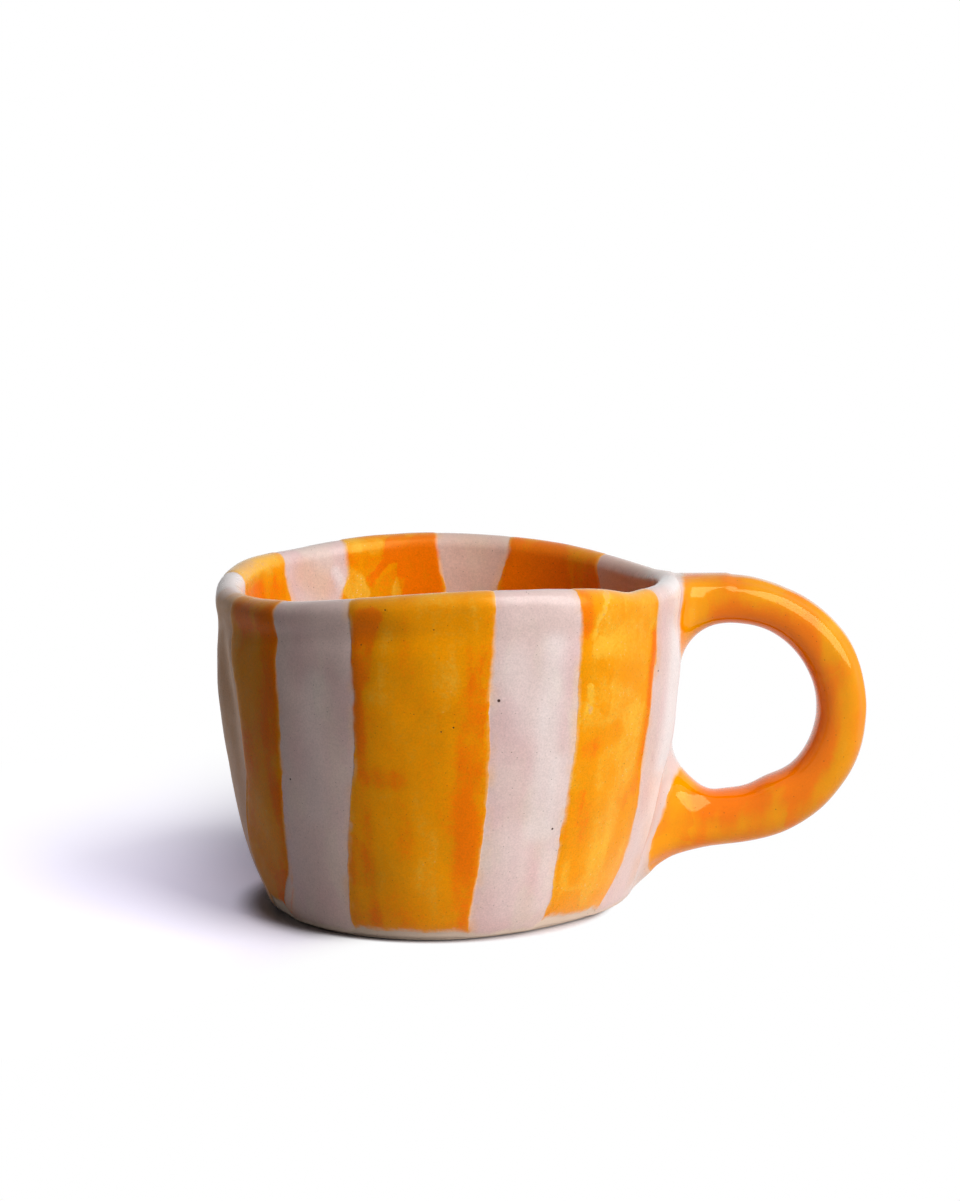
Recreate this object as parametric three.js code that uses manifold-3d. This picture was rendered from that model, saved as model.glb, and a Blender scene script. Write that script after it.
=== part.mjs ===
// A handmade ceramic mug with a ring handle and broad brushed stripes of glaze.
// Millimetres, +Z up, origin at the centre of the flat foot, handle towards +X.
import * as THREE from 'three';
import { mergeVertices } from 'three/addons/utils/BufferGeometryUtils.js';
import Module from 'manifold-3d';

// Cup, measured over the glaze
const mugHeight = 78;          // mean height of the lip above the table
const rimRadius = 53.3;        // outside radius at the lip
const footRadius = 39;         // mean radius of the flat foot
const wallThickness = 6.2;     // clay and both glaze coats
const floorThickness = 7;      // clay and the glaze on it
const cornerRadius = 8;        // rounding between wall and floor inside
const rimWave = 4;             // how far the hand pressed lip leaves its mean height
const footWave = 3.4;          // how far the foot leaves a circle
const notchDepth = 0.9;        // dent that a fingertip left in the lip

// Glaze
const glazeThickness = 0.5;    // one fired coat
const seatGap = 0.3;           // clearance between pieces that lie on each other
const bareFoot = 3;            // band of bare clay above the table

// Handle, measured over the glaze
const coilThickness = 11.2;    // in the plane of the ring, at the top and outer side
const coilWidth = 13;          // across the ring
const coilSwell = 2.8;         // how much thicker the coil has grown where it meets the wall again
const upperRootDrop = 7.3;     // centreline of the ring's top below the mean lip
const lowerRootHeight = 19.9;  // centreline of the ring's bottom above the table
const ringStandoff = 11.3;     // centre of the ring outside the lip radius
const jointLength = 8;         // length of each flared end, from the wall
const filletToe = 0.7;         // the roundings stop this short of lying flat on the wall
const cutOverrun = 10;         // how far cutting blocks run on past the lip

// Radii of the roundings where the coil is worked into the wall
const upperInnerFillet = 11;   // towards the finger opening
const upperOuterFillet = 1.2;  // towards the lip
const upperSideFillet = 6;
const lowerInnerFillet = 12;
const lowerOuterFillet = 12;   // towards the foot
const lowerSideFillet = 7;

// Shape of the outside: radius grows from foot to lip as (1 - (1 - h)^2)^bellyExponent
const bellyExponent = 0.6;

// Sixteen clock positions round the cup, counter clockwise from the handle
const rimLiftShares = [-0.4, -0.8, -0.5, -0.05, 0.2, 0.15, -0.2, -0.25,
  -0.7, -0.9, -0.65, -0.08, 0.35, 0.4, 0, -0.4];
const footReachShares = [0.15, 0.15, 0, 0, 0, 0, 0, -0.1,
  -0.15, 0.4, 0.6, 0.55, 0.15, -0.65, -1, -0.55];
const notchAngle = 322;
const notchSpread = 7;

// Stripe edges in degrees round the cup: orange starts at the first, pink at the second, and so on
const stripeEdgeAngles = [44, 74, 94, 121, 142, 165, 203, 223.5, 246, 280, 302, 330.5];

// Fineness of the facets
const degreesPerColumn = 6.2;
const leastColumns = 3;
const outsideRows = 8;
const lipRows = 6;
const insideRows = 6;
const cornerRows = 2;
const cornerSweep = 60;        // degrees of the inside corner that the wall's toe covers
const handleSides = 14;
const ringStations = 24;
const jointStations = 6;
const rowCrowding = 1.4;       // rows lie closer together near the foot
const footRowShares = [0, 0.15, 0.5, 1];
const sectionExponent = 2.4;   // squareness of the coil's section

const colours = { clay: 0xd9cfc0, orange: 0xf0a016, pink: 0xe3cfcd };
const roughness = { clay: 0.75, orange: 0.22, pink: 0.22 };

const wasm = await Module();
wasm.setup();

const degrees = Math.PI / 180;
const turn = 2 * Math.PI;
const coatDepth = glazeThickness + seatGap;
const lipRadius = wallThickness / 2;

// Smooth curve through values that stand evenly round the cup
function roundTheClock(shares, theta) {
  const count = shares.length;
  const position = ((theta / turn) % 1 + 1) % 1 * count;
  const index = Math.floor(position);
  const f = position - index;
  const [a, b, c, d] = [-1, 0, 1, 2].map((step) => shares[(index + step + count) % count]);
  return b + 0.5 * f * (c - a + f * (2 * a - 5 * b + 4 * c - d + f * (3 * (b - c) + d - a)));
}

function lipHeight(theta) {
  const away = Math.atan2(Math.sin(theta - notchAngle * degrees), Math.cos(theta - notchAngle * degrees));
  const notch = notchDepth * Math.exp(-((away / (notchSpread * degrees)) ** 2));
  return mugHeight + rimWave * roundTheClock(rimLiftShares, theta) - notch;
}

function outerRadius(theta, z) {
  const foot = footRadius + footWave * roundTheClock(footReachShares, theta);
  const h = Math.min(Math.max(z / lipHeight(theta), 0), 1);
  return foot + (rimRadius - foot) * (1 - (1 - h) ** 2) ** bellyExponent;
}

// Points of the cup's section at one angle, as [radius, height], a given depth under the glaze

function outsidePoints(theta, depth, lowHeights) {
  const top = lipHeight(theta) - lipRadius;
  const heights = [...lowHeights];
  for (let i = 1; i <= outsideRows; i++) {
    heights.push(wallSeat + (top - wallSeat) * (i / (outsideRows + 1)) ** rowCrowding);
  }
  return heights.map((z) => [outerRadius(theta, z) - depth, z]);
}

function lipPoints(theta, depth, sweep = 180) {
  const z = lipHeight(theta) - lipRadius;
  const centre = outerRadius(theta, z) - lipRadius;
  const points = [];
  for (let i = 0; i <= lipRows * sweep / 180; i++) {
    const angle = 180 * degrees * i / lipRows;
    const reach = lipRadius - depth;
    points.push([centre + reach * Math.cos(angle), z + reach * Math.sin(angle)]);
  }
  return points;
}

function insidePoints(theta, depth) {
  const top = lipHeight(theta) - lipRadius;
  const low = floorThickness + cornerRadius;
  const points = [];
  for (let i = 1; i < insideRows; i++) {
    const z = top + (low - top) * i / insideRows;
    points.push([outerRadius(theta, z) - wallThickness + depth, z]);
  }
  return points;
}

function cornerPoints(theta, depth) {
  const low = floorThickness + cornerRadius;
  const centre = outerRadius(theta, low) - wallThickness - cornerRadius;
  const points = [];
  for (let i = 0; i <= cornerRows; i++) {
    const angle = cornerSweep * degrees * i / cornerRows;
    const reach = cornerRadius + depth;
    points.push([centre + reach * Math.cos(angle), low - reach * Math.sin(angle)]);
  }
  return points;
}

const slabTop = floorThickness - coatDepth;
const wallSeat = slabTop + seatGap;
const footLedge = bareFoot - seatGap;
const footHeights = footRowShares.map((share) => share * footLedge);

function sectionPath(theta, depth, lowHeights) {
  return [
    ...outsidePoints(theta, depth, lowHeights),
    ...lipPoints(theta, depth),
    ...insidePoints(theta, depth),
    ...cornerPoints(theta, depth),
  ];
}

function standUp(theta, points) {
  return points.map(([r, z]) => new THREE.Vector3(r * Math.cos(theta), r * Math.sin(theta), z));
}

// Angles of the facet columns of one stripe, from edge to edge
function columnAngles(from, to) {
  const count = Math.max(leastColumns, Math.round((to - from) / degreesPerColumn));
  return Array.from({ length: count + 1 }, (_, i) => (from + (to - from) * i / count) * degrees);
}

const stripeSpans = stripeEdgeAngles.map((from, i) => {
  const next = stripeEdgeAngles[(i + 1) % stripeEdgeAngles.length];
  return [from, next > from ? next : next + 360];
});

const allColumns = stripeSpans.flatMap(([from, to]) => columnAngles(from, to).slice(0, -1));

// Closed mesh through rings of points: the last ring meets the first, or both ends are capped

function turned(a, b, c) {
  return (b.x - a.x) * (c.y - a.y) - (b.y - a.y) * (c.x - a.x);
}

function capTriangles(flat) {
  const ringSign = Math.sign(THREE.ShapeUtils.area(flat));
  return THREE.ShapeUtils.triangulateShape(flat, []).map(([a, b, c]) => (
    Math.sign(turned(flat[a], flat[b], flat[c])) === ringSign ? [a, b, c] : [a, c, b]
  ));
}

function signedVolume(points, triangles) {
  return triangles.reduce((sum, [a, b, c]) => (
    sum + points[a].dot(new THREE.Vector3().crossVectors(points[b], points[c])) / 6
  ), 0);
}

function loft(rings, flatten) {
  const sides = rings[0].length;
  const closed = flatten === undefined;
  const points = rings.flat();
  const triangles = [];
  for (let i = 0; i < rings.length - (closed ? 0 : 1); i++) {
    const here = i * sides;
    const next = ((i + 1) % rings.length) * sides;
    for (let j = 0; j < sides; j++) {
      const k = (j + 1) % sides;
      triangles.push([here + j, here + k, next + k], [here + j, next + k, next + j]);
    }
  }
  if (!closed) {
    const last = points.length - sides;
    const lastCap = capTriangles(rings.at(-1).map(flatten));
    triangles.push(...capTriangles(rings[0].map(flatten)).map(([a, b, c]) => [a, c, b]));
    triangles.push(...lastCap.map((corners) => corners.map((corner) => last + corner)));
  }
  const outward = signedVolume(points, triangles) > 0;
  const geometry = new THREE.BufferGeometry().setFromPoints(points);
  geometry.setIndex(triangles.flatMap(([a, b, c]) => (outward ? [a, b, c] : [a, c, b])));
  return geometry;
}

const fromAbove = (p) => new THREE.Vector2(p.x, p.y);
const fromTheSide = (p) => new THREE.Vector2(Math.hypot(p.x, p.y), p.z);

// Cuts

function toSolid(geometry) {
  const bare = mergeVertices(geometry);
  return new wasm.Manifold(new wasm.Mesh({
    numProp: 3,
    vertProperties: new Float32Array(bare.attributes.position.array),
    triVerts: new Uint32Array(bare.index.array),
  }));
}

function toGeometry(solid) {
  const mesh = solid.getMesh();
  const geometry = new THREE.BufferGeometry();
  geometry.setAttribute('position', new THREE.BufferAttribute(mesh.vertProperties, 3));
  geometry.setIndex(new THREE.BufferAttribute(mesh.triVerts, 1));
  return geometry;
}

// Clay of the cup

// The foot carries the glaze on a small ledge
function baseSlab() {
  const rows = footHeights.map((z) => [z, 0]);
  rows.push([footLedge, coatDepth], [slabTop, coatDepth]);
  const rings = rows.map(([z, depth]) => (
    allColumns.flatMap((theta) => standUp(theta, [[outerRadius(theta, z) - depth, z]]))
  ));
  return loft(rings, fromAbove);
}

function wallSlab() {
  return loft(allColumns.map((theta) => {
    const path = sectionPath(theta, coatDepth, [wallSeat]);
    const toe = path.at(-1)[0];
    return standUp(theta, [...path, [toe, wallSeat]]);
  }));
}

// The cup as a filled block, used only to cut what is pressed on its outside
function filledCup(depth) {
  const columns = allColumns.map((theta) => {
    const lip = lipPoints(theta, depth, 90);
    const [crest, top] = lip.at(-1);
    const outside = outsidePoints(theta, depth, [...footHeights, wallSeat]);
    return standUp(theta, [...outside, ...lip, [crest, top + cutOverrun]]);
  });
  return loft(columns[0].map((_, row) => columns.map((column) => column[row])), fromAbove);
}

// Glaze of the cup

function stripeCoat(from, to) {
  const edge = seatGap / 2 / rimRadius;
  const angles = columnAngles(from, to);
  angles[0] += edge;
  angles[angles.length - 1] -= edge;
  return loft(angles.map((theta) => {
    const front = sectionPath(theta, 0, [bareFoot, wallSeat]);
    const back = sectionPath(theta, glazeThickness, [bareFoot, wallSeat]);
    return standUp(theta, [...front, ...back.reverse()]);
  }), fromTheSide);
}

function floorGlaze() {
  const rim = (theta) => cornerPoints(theta, coatDepth).at(-1)[0] - seatGap;
  const rings = [floorThickness - glazeThickness, floorThickness].map((z) => (
    allColumns.flatMap((theta) => standUp(theta, [[rim(theta), z]]))
  ));
  return loft(rings, fromAbove);
}

// Handle: a coil that runs out of the wall, round a half ring and back into the wall

const ringTop = mugHeight - upperRootDrop;
const ringRadius = (ringTop - lowerRootHeight) / 2;
const ringX = rimRadius + ringStandoff;
const ringZ = (ringTop + lowerRootHeight) / 2;
const midWall = wallThickness / 2;

const spine = new THREE.Path();
spine.moveTo(outerRadius(0, ringTop) - wallThickness, ringTop);
spine.lineTo(ringX, ringTop);
spine.absarc(ringX, ringZ, ringRadius, Math.PI / 2, -Math.PI / 2, true);
spine.lineTo(outerRadius(0, lowerRootHeight) - wallThickness, lowerRootHeight);
const spineLength = spine.getLength();

// Reach of a rounding at a point x, where it would touch the wall at the given side and height
function fillet(radius, x, y, z) {
  const wallX = Math.sqrt(outerRadius(0, z) ** 2 - y ** 2);
  const away = THREE.MathUtils.clamp(x - wallX + filletToe, filletToe, radius);
  return radius - Math.sqrt(radius ** 2 - (radius - away) ** 2);
}

function coilRing(distance, grow) {
  const centre = spine.getPointAt(distance / spineLength);
  const along = spine.getTangentAt(distance / spineLength);
  const pastMiddle = 2 * distance / spineLength - 1;
  const half = (coilThickness + coilSwell * Math.max(pastMiddle, 0)) / 2;
  const halfWidth = coilWidth / 2;
  const [outerFillet, innerFillet, sideFillet] = pastMiddle < 0
    ? [upperOuterFillet, upperInnerFillet, upperSideFillet]
    : [lowerOuterFillet, lowerInnerFillet, lowerSideFillet];
  const edge = (reach) => centre.y + along.x * reach;
  const outer = half + grow + fillet(outerFillet, centre.x, 0, edge(half + outerFillet / 2));
  const inner = half + grow + fillet(innerFillet, centre.x, 0, edge(-half - innerFillet / 2));
  const side = halfWidth + grow + fillet(sideFillet, centre.x, halfWidth + sideFillet / 2, centre.y);
  const squared = (value) => Math.sign(value) * Math.abs(value) ** (2 / sectionExponent);
  return Array.from({ length: handleSides }, (_, i) => {
    const angle = turn * i / handleSides;
    const outwards = squared(Math.cos(angle));
    const reach = outwards * (outwards > 0 ? outer : inner);
    const across = side * squared(Math.sin(angle));
    return new THREE.Vector3(centre.x - along.y * reach, across, centre.y + along.x * reach);
  });
}

const evenShares = (count) => Array.from({ length: count + 1 }, (_, i) => i / count);
const crowdedShares = evenShares(jointStations).map((share) => share ** 2);

const upperRun = [0, ...crowdedShares.map((share) => wallThickness + jointLength * share)];
const lowerRun = upperRun.map((distance) => spineLength - distance).reverse();
const ringFrom = wallThickness + jointLength + seatGap;
const ringRun = evenShares(ringStations).map((share) => ringFrom + (spineLength - 2 * ringFrom) * share);

// A length of the coil, solid through
function coilSpan(distances, grow) {
  const rings = distances.map((distance) => coilRing(distance, grow));
  return loft(rings, (_, i) => {
    const angle = turn * i / handleSides;
    return new THREE.Vector2(Math.cos(angle), Math.sin(angle));
  });
}

function cutBy(geometry, ...cutters) {
  return toGeometry(cutters.reduce((solid, cutter) => solid.subtract(toSolid(cutter)), toSolid(geometry)));
}

const upperHandleJoint = () => cutBy(coilSpan(upperRun, -coatDepth), filledCup(coatDepth - seatGap));
const lowerHandleJoint = () => cutBy(coilSpan(lowerRun, -coatDepth), filledCup(coatDepth - seatGap));
const handleCoil = () => coilSpan(ringRun, -coatDepth);

function handleGlaze() {
  const whole = [...upperRun, ...ringRun, ...lowerRun];
  const outer = whole.map((distance) => coilRing(distance, 0));
  const inner = whole.map((distance) => coilRing(distance, -glazeThickness));
  const skin = loft(outer[0].map((_, side) => (
    [...outer.map((ring) => ring[side]), ...inner.map((ring) => ring[side]).reverse()]
  )));
  return cutBy(skin, filledCup(-seatGap));
}

// The wide pink stripe has an opening outside, round each end of the handle
function openForHandle(coat) {
  const roots = [upperRun, lowerRun].map((run) => cutBy(coilSpan(run, -glazeThickness), filledCup(midWall)));
  return cutBy(coat, ...roots);
}

// Assembly

const mug = new THREE.Group();

function addPiece(name, geometry, finish) {
  const faceted = geometry.toNonIndexed();
  faceted.computeVertexNormals();
  const material = new THREE.MeshStandardMaterial({
    color: colours[finish],
    roughness: roughness[finish],
    metalness: 0,
  });
  const piece = new THREE.Mesh(faceted, material);
  piece.name = name;
  mug.add(piece);
}

addPiece('base_slab', baseSlab(), 'clay');
addPiece('wall_slab', wallSlab(), 'clay');
addPiece('handle_coil', handleCoil(), 'clay');
addPiece('upper_handle_joint', upperHandleJoint(), 'clay');
addPiece('lower_handle_joint', lowerHandleJoint(), 'clay');
stripeSpans.forEach(([from, to], i) => {
  const finish = i % 2 === 0 ? 'orange' : 'pink';
  const coat = stripeCoat(from, to);
  const holdsHandle = from < 360 && to > 360;
  addPiece(`${finish}_stripe_${Math.floor(i / 2) + 1}`, holdsHandle ? openForHandle(coat) : coat, finish);
});
addPiece('handle_glaze', handleGlaze(), 'orange');
addPiece('floor_glaze', floorGlaze(), 'pink');

export default mug;
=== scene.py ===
"""A handmade ceramic mug: fired clay, twelve brushed coats of glaze, a coil handle and a plain studio."""

import math
import bpy
import numpy as np
from bpy.props import FloatProperty, FloatVectorProperty, PointerProperty
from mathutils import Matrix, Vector, noise
from mathutils.bvhtree import BVHTree


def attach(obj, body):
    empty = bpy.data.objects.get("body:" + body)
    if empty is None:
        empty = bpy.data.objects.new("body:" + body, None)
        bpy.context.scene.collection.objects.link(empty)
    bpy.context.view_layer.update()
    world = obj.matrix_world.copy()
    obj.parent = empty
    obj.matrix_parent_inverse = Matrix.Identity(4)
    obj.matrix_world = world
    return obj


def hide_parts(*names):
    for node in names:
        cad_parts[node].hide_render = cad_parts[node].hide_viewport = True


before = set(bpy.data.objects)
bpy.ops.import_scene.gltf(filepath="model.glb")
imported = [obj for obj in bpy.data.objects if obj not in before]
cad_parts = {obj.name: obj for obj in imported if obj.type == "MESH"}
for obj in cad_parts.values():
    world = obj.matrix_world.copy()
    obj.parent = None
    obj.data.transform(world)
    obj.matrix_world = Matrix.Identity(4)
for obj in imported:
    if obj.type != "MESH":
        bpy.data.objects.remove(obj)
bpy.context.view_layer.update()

bl_info = {
    "name": "Brushed mug",
    "version": (1, 0, 0),
    "blender": (4, 5, 0),
    "location": "3D view > sidebar > Mug",
    "description": "Throws, glazes and lights a handmade mug with brushed stripes",
    "category": "Object",
}

MM = 0.001
TURN = 2 * math.pi
BODY = "root"

# At sixteen clock positions, counter clockwise from the handle: how much of the rim wave the lip rises, and
# how much of the foot wave the foot reaches out
RIM_LIFT_SHARES = (
    *(-0.4, -0.8, -0.5, -0.05, 0.2, 0.15, -0.2, -0.25),
    *(-0.7, -0.9, -0.65, -0.08, 0.35, 0.4, 0, -0.4),
)
FOOT_REACH_SHARES = (
    *(0.15, 0.15, 0, 0, 0, 0, 0, -0.1),
    *(-0.15, 0.4, 0.6, 0.55, 0.15, -0.65, -1, -0.55),
)

# Where the edges of the coats wander: shares of the height outside, then of the depth inside
OUTSIDE_SHARES = (0.04, 0.15, 0.3, 0.45, 0.6, 0.75, 0.9)
INSIDE_SHARES = (0.02, 0.08, 0.16, 0.3, 0.6, 1)

# Each coat starts at an angle in degrees, and its edge strays from it by these degrees outside and inside
COAT_EDGES = (
    (44, (-2, 0, 1.5, 0.5, -0.5, 0, 0.5), (-1.5, -2.5, -2.5, -1, 0, 1)),
    (74, (1.5, -0.5, -1, 0, 1, 0.5, 0), (-1, 0.5, 2.5, 2, 0, -1)),
    (94, (-2, -1, 0, 1, 0.5, -0.5, 0), (0, -1, -2.5, -2.5, -1, 0)),
    (121, (2, 1, 0, -1, -0.5, 0.5, 0.5), (1.5, 0, 3.5, 2, 1, 0)),
    (142, (-1.5, 0.5, 1, 0, -1, 0, 1), (4, 3, 0.5, 0, 1, 0)),
    (165, (1, -1, -0.5, 0.5, 1.5, 0.5, 2), (11, 13, 15, 12, 6, 2)),
    (203, (0, -4.5, -1, 4.5, 4, 3, 0), (3, 3, 2, 0, -1, 0)),
    (224, (-9.5, -3, -1, 0, 1, 1, 0), (1, 0, -1, 0, 1, 0)),
    (246, (-4.5, -3.5, -2.5, -0.5, 1, 1.5, 0.5), (0, 1, 1, -1, 0, 0)),
    (280, (-4, -2.5, -1, 0, 0, 0, 1), (1, 0, 1, 2, 0, 0)),
    (302, (-1, -1, -1, 0, 1, 0.5, 0.5), (0, -1, -1, 1, 0, 0)),
    (330.5, (-3.5, 0.5, 0.5, -0.5, -1, -0.5, 0.5), (0, 0, 1, 1, 0, 0)),
)
COATS = len(COAT_EDGES)
FLOOR_COAT = COATS
# The coats that the brush left thin and dry
DRY_COATS = (5, 6)

# Height above the table at which each coat stops, in millimetres
HEM_HEIGHTS = (3.2, 1.7, 3.4, 1.5, 3, 1.8, 5, 1.6, 2.7, 1.5, 3.4, 1.7)

# Soft brush passes: degrees and millimetres along the wall at both ends, width in millimetres and how much
# thicker (above zero) or thinner the orange glaze lies there
SOFT_PASSES = (
    (250, 73, 249, 62, 6.5, 0.5),
    (254.5, 67, 253, 58, 7, -0.2),
    (276.5, 66, 273, 4, 5, 0.26),
    (248, 62, 249.5, 5, 2.8, 0.3),
    (250.5, 39, 257, 38, 5, 0.3),
    (256, 31, 259, 4, 7, 0.16),
    (254, 34, 255, 26, 4, -0.14),
    (267, 74, 268, 64, 12, -0.12),
    (263, 53, 265, 40, 8, 0.08),
    (316, 76, 316, 4, 24, -0.24),
    (304.5, 77, 304.5, 70, 6, 0.4),
    (320, 72, 321, 60, 12, 0.26),
    (310, 62, 318, 60, 5, 0.22),
    (329, 68, 327, 32, 2.6, 0.42),
    (326, 32, 321, 8, 5, 0.26),
    (307, 46, 309, 14, 5, 0.24),
    (308, 43, 316, 47, 4.5, 0.3),
    (221, 74, 222.5, 8, 6, 0.26),
    (213.5, 70, 216, 6, 13, 0.12),
    # Painted shade: deeper orange under the lip on the left, where the lip's shadow falls
    (208, 74, 222, 73, 7, 0.25),
    (50, 70, 48, 20, 6, 0.3),
    (52, 56, 62, 59, 5, 0.2),
    (103, 58, 112, 61, 6, 0.2),
    (66, 60, 64, 30, 8, -0.12),
    (71, 74, 71, 8, 3, 0.3),
    (58, 40, 60, 12, 8, 0.14),
    (59, 74, 59, 8, 30, 0.2),
    (107, 74, 107, 8, 30, 0.2),
    (154, 74, 154, 8, 26, 0.2),
    (98, 72, 97, 6, 4, 0.34),
    (108, 63, 110, 30, 9, -0.14),
    (117, 74, 117, 40, 5, 0.26),
    (112, 32, 106, 10, 8, 0.18),
    (146, 72, 147, 8, 5, 0.3),
    (156, 68, 156, 36, 8, -0.12),
    (163, 64, 162, 6, 3, 0.34),
    (151, 33, 159, 30, 5, 0.24),
    (150, 81.5, 176, 82, 7, -0.5),
    (174, 88, 150, 91, 8, 0.26),
    (72, 84, 69, 116, 6, 0.5),
    # Painted shade: deeper orange on the inside wall beside the handle
    (60, 86, 58, 140, 26, 0.36),
    (211, 90, 211, 132, 8, 0.24),
    (260, 90, 258, 135, 10, -0.24),
    (273, 88, 274, 142, 5, 0.3),
    (314, 92, 320, 138, 9, 0.24),
    (306, 90, 306, 122, 4, -0.24),
    (100, 98, 102, 140, 9, 0.3),
    (114, 100, 113, 138, 8, -0.26),
)

# A thin wash of orange on the pink, or below zero a milky streak in it, in the same measures
WASH_PASSES = (
    (196, 73, 199, 8, 26, 0.85),
    # Painted highlight: a milky streak on the left corner of the lip
    (178, 81, 196, 80, 9, -1.3),
    (194, 77, 208, 79, 6, 0.8),
    (84, 88, 84, 140, 26, 0.3),
    # Painted shade: a browner wash on the inside wall beside the handle
    (22, 86, 22, 140, 44, 0.3),
    (330, 78, 331, 60, 4, 0.3),
    (242, 14, 243, 5, 3, 0.35),
    (131, 74, 132, 50, 7, 0.3),
    (85, 40, 84, 12, 8, 0.25),
    (138, 87, 130, 91, 7, 0.35),
    (20, 30, 24, 10, 9, 0.25),
    (341, 20, 345, 8, 6, 0.3),
    # A milky streak, with painted reflection: whiter pink beside the handle
    (347, 84, 345, 22, 13, -1.3),
    (296, 66, 294, 26, 6, -0.6),
    (299, 40, 298, 8, 4.5, -0.4),
    (286, 62, 290, 50, 8, -0.35),
    (288, 24, 286, 8, 7, -0.3),
    (236, 60, 234, 30, 6, -0.3),
    (126, 88, 122.6, 93, 2.4, -1),
    (124, 100, 126, 130, 6, -0.5),
    (82, 66, 84, 30, 7, -0.6),
    (130, 40, 134, 14, 6, -0.6),
    (184, 60, 182, 20, 8, -0.5),
    (22, 66, 26, 36, 9, -0.6),
    (350, 92, 348, 130, 10, -0.5),
    (190, 92, 188, 130, 9, -0.5),
)

# Sharp brush laps: degrees and millimetres along the wall at both ends and width in millimetres
DEEP_LAPS = (
    (106.5, 84.5, 97, 85, 7),
    (100, 89, 98.5, 99, 10),
    (108, 86, 114.5, 92, 2.2),
    (248.5, 70, 252, 74, 4),
    (213, 6.5, 220, 5.5, 2.5),
)
THIN_LAPS = (
    (120, 82.5, 112, 83.6, 4.5),
    (122, 90.5, 118, 95, 6),
    (105.6, 93, 106.4, 99, 3),
    (311.5, 78, 306, 68.5, 1),
    (306, 57, 306.2, 52, 2),
    (111, 22, 113, 12, 2.4),
    (60, 66, 66, 68, 2.6),
)

# Iron spots that stand out: degrees, height and radius in millimetres
IRON_SPOTS = (
    (281.9, 54.6, 0.36),
    (298.4, 25.8, 0.26),
    (227.7, 37.1, 0.24),
    (271.7, 49.3, 0.2),
    (268.4, 48.6, 0.17),
    (332.7, 59.2, 0.2),
    (255.4, 75.3, 0.18),
    (120, 44, 0.3),
    (70, 31, 0.24),
    (190, 52, 0.28),
)

# Dents that fingers left in the wall: degrees, height, half width, half height and depth in millimetres
DENTS = (
    (222, 70.4, 27, 2.6, 0.7),
    (252, 70, 14, 2.6, 0.35),
    (203, 44, 4, 9, 0.8),
    (199, 52, 4, 9, 0.9),
    (195, 60, 4, 8, 0.8),
    (188, 50, 5, 16, -0.7),
    (206, 56, 5, 14, -0.4),
    (212, 58, 9, 14, 0.35),
    (229, 63, 12, 6, 0.7),
    (236, 30, 14, 12, 0.3),
    (262, 40, 16, 18, 0.35),
    (300, 55, 12, 10, 0.3),
    (320, 25, 10, 12, 0.3),
    (150, 45, 12, 16, 0.5),
    (110, 30, 14, 12, 0.4),
    (70, 50, 12, 14, 0.45),
    (35, 30, 12, 10, 0.35),
)

# Rows of the cup's mesh from the middle of the underside to the middle of the floor
UNDER_ROWS, FOOT_ROWS, OUTSIDE_ROWS, LIP_ROWS = 12, 8, 88, 16
INSIDE_ROWS, CORNER_ROWS, FLOOR_ROWS = 62, 14, 24
COLUMNS_PER_DEGREE = 1
# The clay takes every second column of the glaze
CLAY_STRIDE = 2

# The numbers on the glaze's points that its material reads
GLAZE_NUMBERS = ("edge", "hem", "deep", "thin", "load", "wash", "crest")
# Millimetres that stand for a point well away from a coat's edge, from its hem and from every brush lap,
# and for the handle's ends inside the wall
FAR = 99.0
CLEAR_OF_HEM = 60
OFF_LAP = -9.0
HIDDEN_END = -5

# The hollow under the lip: millimetres below it and half width; and half widths of the lip's crest for the
# colour and for the dents on it
GROOVE_DROP, GROOVE_SPREAD = 6.5, 3.4
CREST_SPREAD, LIP_SPREAD = 3.2, 7

# Unevenness of the pinched wall: length of the waves in millimetres, seed, share of the hand wave and how
# much of that the lip has
HAND_WAVES = ((27, 2, 1, 0), (13, 5, 0.55, 0.5), (6, 7, 0.16, 0.7))


def clock(shares, angle):
    """A smooth curve through values that stand evenly round the cup."""
    count = len(shares)
    position = (angle / TURN % 1) * count
    index = np.floor(position).astype(int)
    f = position - index
    a, b, c, d = (np.take(shares, (index + step) % count) for step in (-1, 0, 1, 2))
    return b + 0.5 * f * (c - a + f * (2 * a - 5 * b + 4 * c - d + f * (3 * (b - c) + d - a)))


def smooth(value, low, high):
    """0 below low, 1 above high, and an easy curve between them."""
    t = np.clip((value - low) / (high - low), 0, 1)
    return t * t * (3 - 2 * t)


def turned_by(angle, other):
    """How far one angle lies from another, the short way round."""
    return (angle - other + math.pi) % TURN - math.pi


def ripple(points, size, seed=0):
    """Noise from -1 to 1 at each point, with waves of about that many millimetres."""
    flat = points.reshape(-1, 3) / size + seed
    return np.array([noise.noise(Vector(p)) for p in flat]).reshape(points.shape[:-1])


def normals_of(points):
    """Outward unit normals of a grid of rows and columns that closes round its columns."""
    along = np.gradient(points, axis=0)
    around = (np.roll(points, -1, axis=1) - np.roll(points, 1, axis=1)) / 2
    normal = np.cross(around, along)
    return normal / np.maximum(np.linalg.norm(normal, axis=-1, keepdims=True), 1e-9)


def millimetres(name, description, default):
    """A length of the panel, given in millimetres."""
    default = default * MM
    return FloatProperty(name=name, description=description, default=default, unit="LENGTH", precision=5)


def degrees(name, description, default):
    """An angle of the panel, given in degrees."""
    default = math.radians(default)
    return FloatProperty(
        name=name, description=description, default=default, subtype="ANGLE", unit="ROTATION"
    )


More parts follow.
